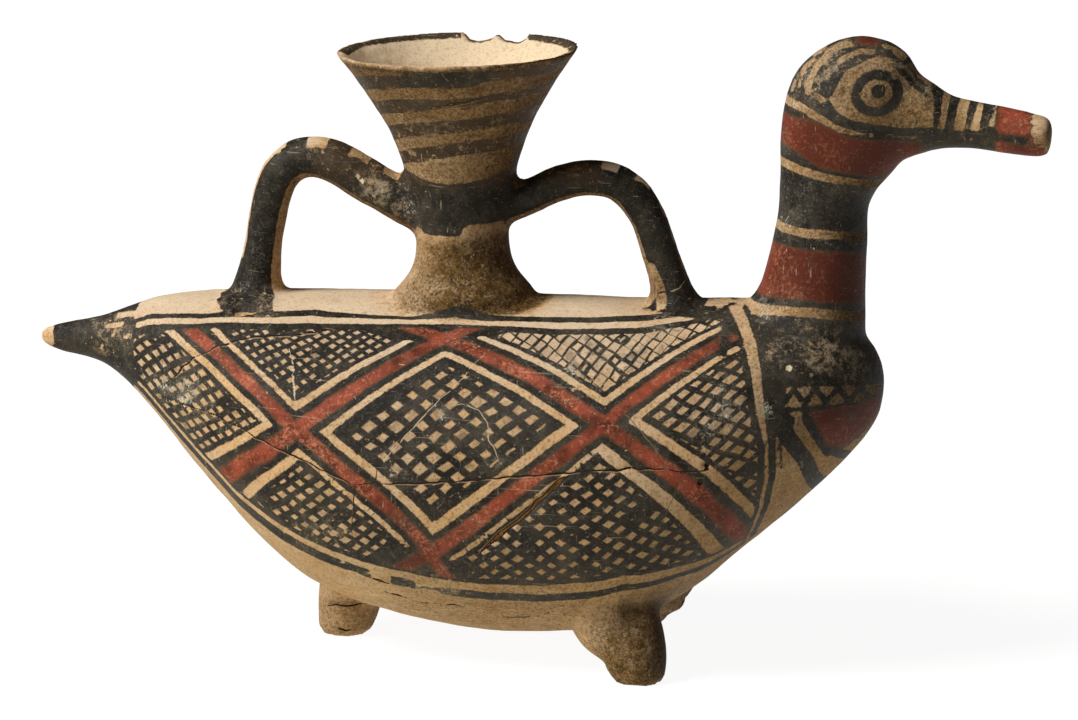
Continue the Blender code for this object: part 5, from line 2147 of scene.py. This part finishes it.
class VESSEL_OT_form(bpy.types.Operator):
    """Builds the vessel's body, neck, funnel, handles and feet as one hollow piece"""

    bl_idname = "duck_vessel.form"
    bl_label = "Form the vessel"

    def execute(self, context):
        noise.seed_set(STRAY_SEED)
        sizes = context.scene.vessel_form
        clay = bpy.data.materials.new("Plain clay")
        vessel = outer_form(sizes, clay)
        cracks = shape_surface(vessel.data)
        cut(vessel, hollow_form(sizes, clay))
        lay_brushwork(vessel.data, sizes, cracks)
        vessel.name = "painted_vessel"
        vessel.data.name = "painted_vessel"
        vessel.data.shade_smooth()
        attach(vessel, "root")
        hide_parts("vessel")
        return {"FINISHED"}


class VESSEL_OT_paint(bpy.types.Operator):
    """Lays the painted clay material on the vessel"""

    bl_idname = "duck_vessel.paint"
    bl_label = "Paint the vessel"

    def execute(self, context):
        vessel = bpy.data.objects["painted_vessel"]
        vessel.data.materials.clear()
        vessel.data.materials.append(paint_material(context.scene.vessel_paint))
        return {"FINISHED"}


def softbox(name, place, target, size, power, colour):
    light = bpy.data.lights.new(name, "AREA")
    light.color = colour
    light.shape = "DISK"
    light.size = size
    light.energy = power
    lamp = bpy.data.objects.new(name, light)
    lamp.location = place
    aim = Vector(target) - Vector(place)
    lamp.rotation_euler = aim.to_track_quat("-Z", "Y").to_euler()
    bpy.context.scene.collection.objects.link(lamp)


def photo_camera():
    """A camera where the photograph was taken from, with the photograph's slight roll."""
    azimuth = math.radians(VIEW_AZIMUTH)
    elevation = math.radians(VIEW_ELEVATION)
    roll_angle = math.radians(VIEW_ROLL)
    back = Vector(
        (
            math.sin(azimuth) * math.cos(elevation),
            -math.cos(azimuth) * math.cos(elevation),
            math.sin(elevation),
        )
    )
    right = (-back).cross(Vector((0.0, 0.0, 1.0))).normalized()
    up = right.cross(-back)
    across = right * math.cos(roll_angle) + up * math.sin(roll_angle)
    upright = up * math.cos(roll_angle) - right * math.sin(roll_angle)
    lens = bpy.data.cameras.new("Photo camera")
    lens.sensor_width = FILM_WIDTH
    lens.lens = FOCAL_PIXELS * FILM_WIDTH / PICTURE_WIDTH
    lens.clip_end = 50.0
    camera = bpy.data.objects.new("Photo camera", lens)
    turn = Matrix((across, upright, back)).transposed().to_4x4()
    camera.matrix_world = Matrix.Translation(Vector(VIEW_TARGET) + back * VIEW_DISTANCE) @ turn
    bpy.context.scene.collection.objects.link(camera)
    bpy.context.scene.camera = camera


class VESSEL_OT_stage(bpy.types.Operator):
    """Sets the pale floor, the soft lights and the camera round the vessel"""

    bl_idname = "duck_vessel.stage"
    bl_label = "Set the stage"

    def execute(self, context):
        setting = context.scene.stage_setting
        half = setting.floor_size / 2
        mesh = bpy.data.meshes.new("floor")
        corners = ((-half, -half, 0.0), (half, -half, 0.0), (half, half, 0.0), (-half, half, 0.0))
        mesh.from_pydata(corners, [], [(0, 1, 2, 3)])
        floor = new_object("floor", mesh)
        material = bpy.data.materials.new("Pale floor")
        material.use_nodes = True
        shader = material.node_tree.nodes["Principled BSDF"]
        shader.inputs["Base Color"].default_value = setting.floor_colour
        shader.inputs["Roughness"].default_value = 0.9
        shader.inputs["Specular IOR Level"].default_value = 0.1
        shader.inputs["Emission Color"].default_value = (1.0, 1.0, 1.0, 1.0)
        shader.inputs["Emission Strength"].default_value = setting.floor_glow
        mesh.materials.append(material)
        floor.visible_diffuse = False
        floor.visible_shadow = False
        softbox("Key light", KEY_PLACE, STAGE_MIDDLE, KEY_SIZE, setting.key_power, KEY_COLOUR)
        softbox("Light from below", FILL_PLACE, STAGE_MIDDLE, FILL_SIZE, setting.fill_power, FILL_COLOUR)
        world = bpy.data.worlds.new("White surround")
        world.use_nodes = True
        background = world.node_tree.nodes["Background"]
        background.inputs["Color"].default_value = SKY_COLOUR
        background.inputs["Strength"].default_value = setting.sky
        context.scene.world = world
        context.scene.view_settings.view_transform = "Standard"
        photo_camera()
        return {"FINISHED"}


class VESSEL_PT_panel(bpy.types.Panel):
    """Steps and settings of the duck vessel"""

    bl_label = "Duck vessel"
    bl_idname = "VESSEL_PT_panel"
    bl_space_type = "VIEW_3D"
    bl_region_type = "UI"
    bl_category = "Duck vessel"

    def draw(self, context):
        layout = self.layout
        for group, step in (
            (context.scene.vessel_form, VESSEL_OT_form),
            (context.scene.vessel_paint, VESSEL_OT_paint),
            (context.scene.stage_setting, VESSEL_OT_stage),
        ):
            box = layout.box()
            for name in group.bl_rna.properties.keys():
                if name not in ("rna_type", "name"):
                    box.prop(group, name)
            box.operator(step.bl_idname)


CLASSES = (
    VesselForm,
    VesselPaint,
    StageSetting,
    VESSEL_OT_form,
    VESSEL_OT_paint,
    VESSEL_OT_stage,
    VESSEL_PT_panel,
)


def register():
    for kind in CLASSES:
        bpy.utils.register_class(kind)
    bpy.types.Scene.vessel_form = bpy.props.PointerProperty(type=VesselForm)
    bpy.types.Scene.vessel_paint = bpy.props.PointerProperty(type=VesselPaint)
    bpy.types.Scene.stage_setting = bpy.props.PointerProperty(type=StageSetting)


def unregister():
    del bpy.types.Scene.stage_setting
    del bpy.types.Scene.vessel_paint
    del bpy.types.Scene.vessel_form
    for kind in reversed(CLASSES):
        bpy.utils.unregister_class(kind)


def main():
    register()
    bpy.ops.duck_vessel.form()
    bpy.ops.duck_vessel.paint()
    bpy.ops.duck_vessel.stage()


if __name__ == "__main__":
    main()
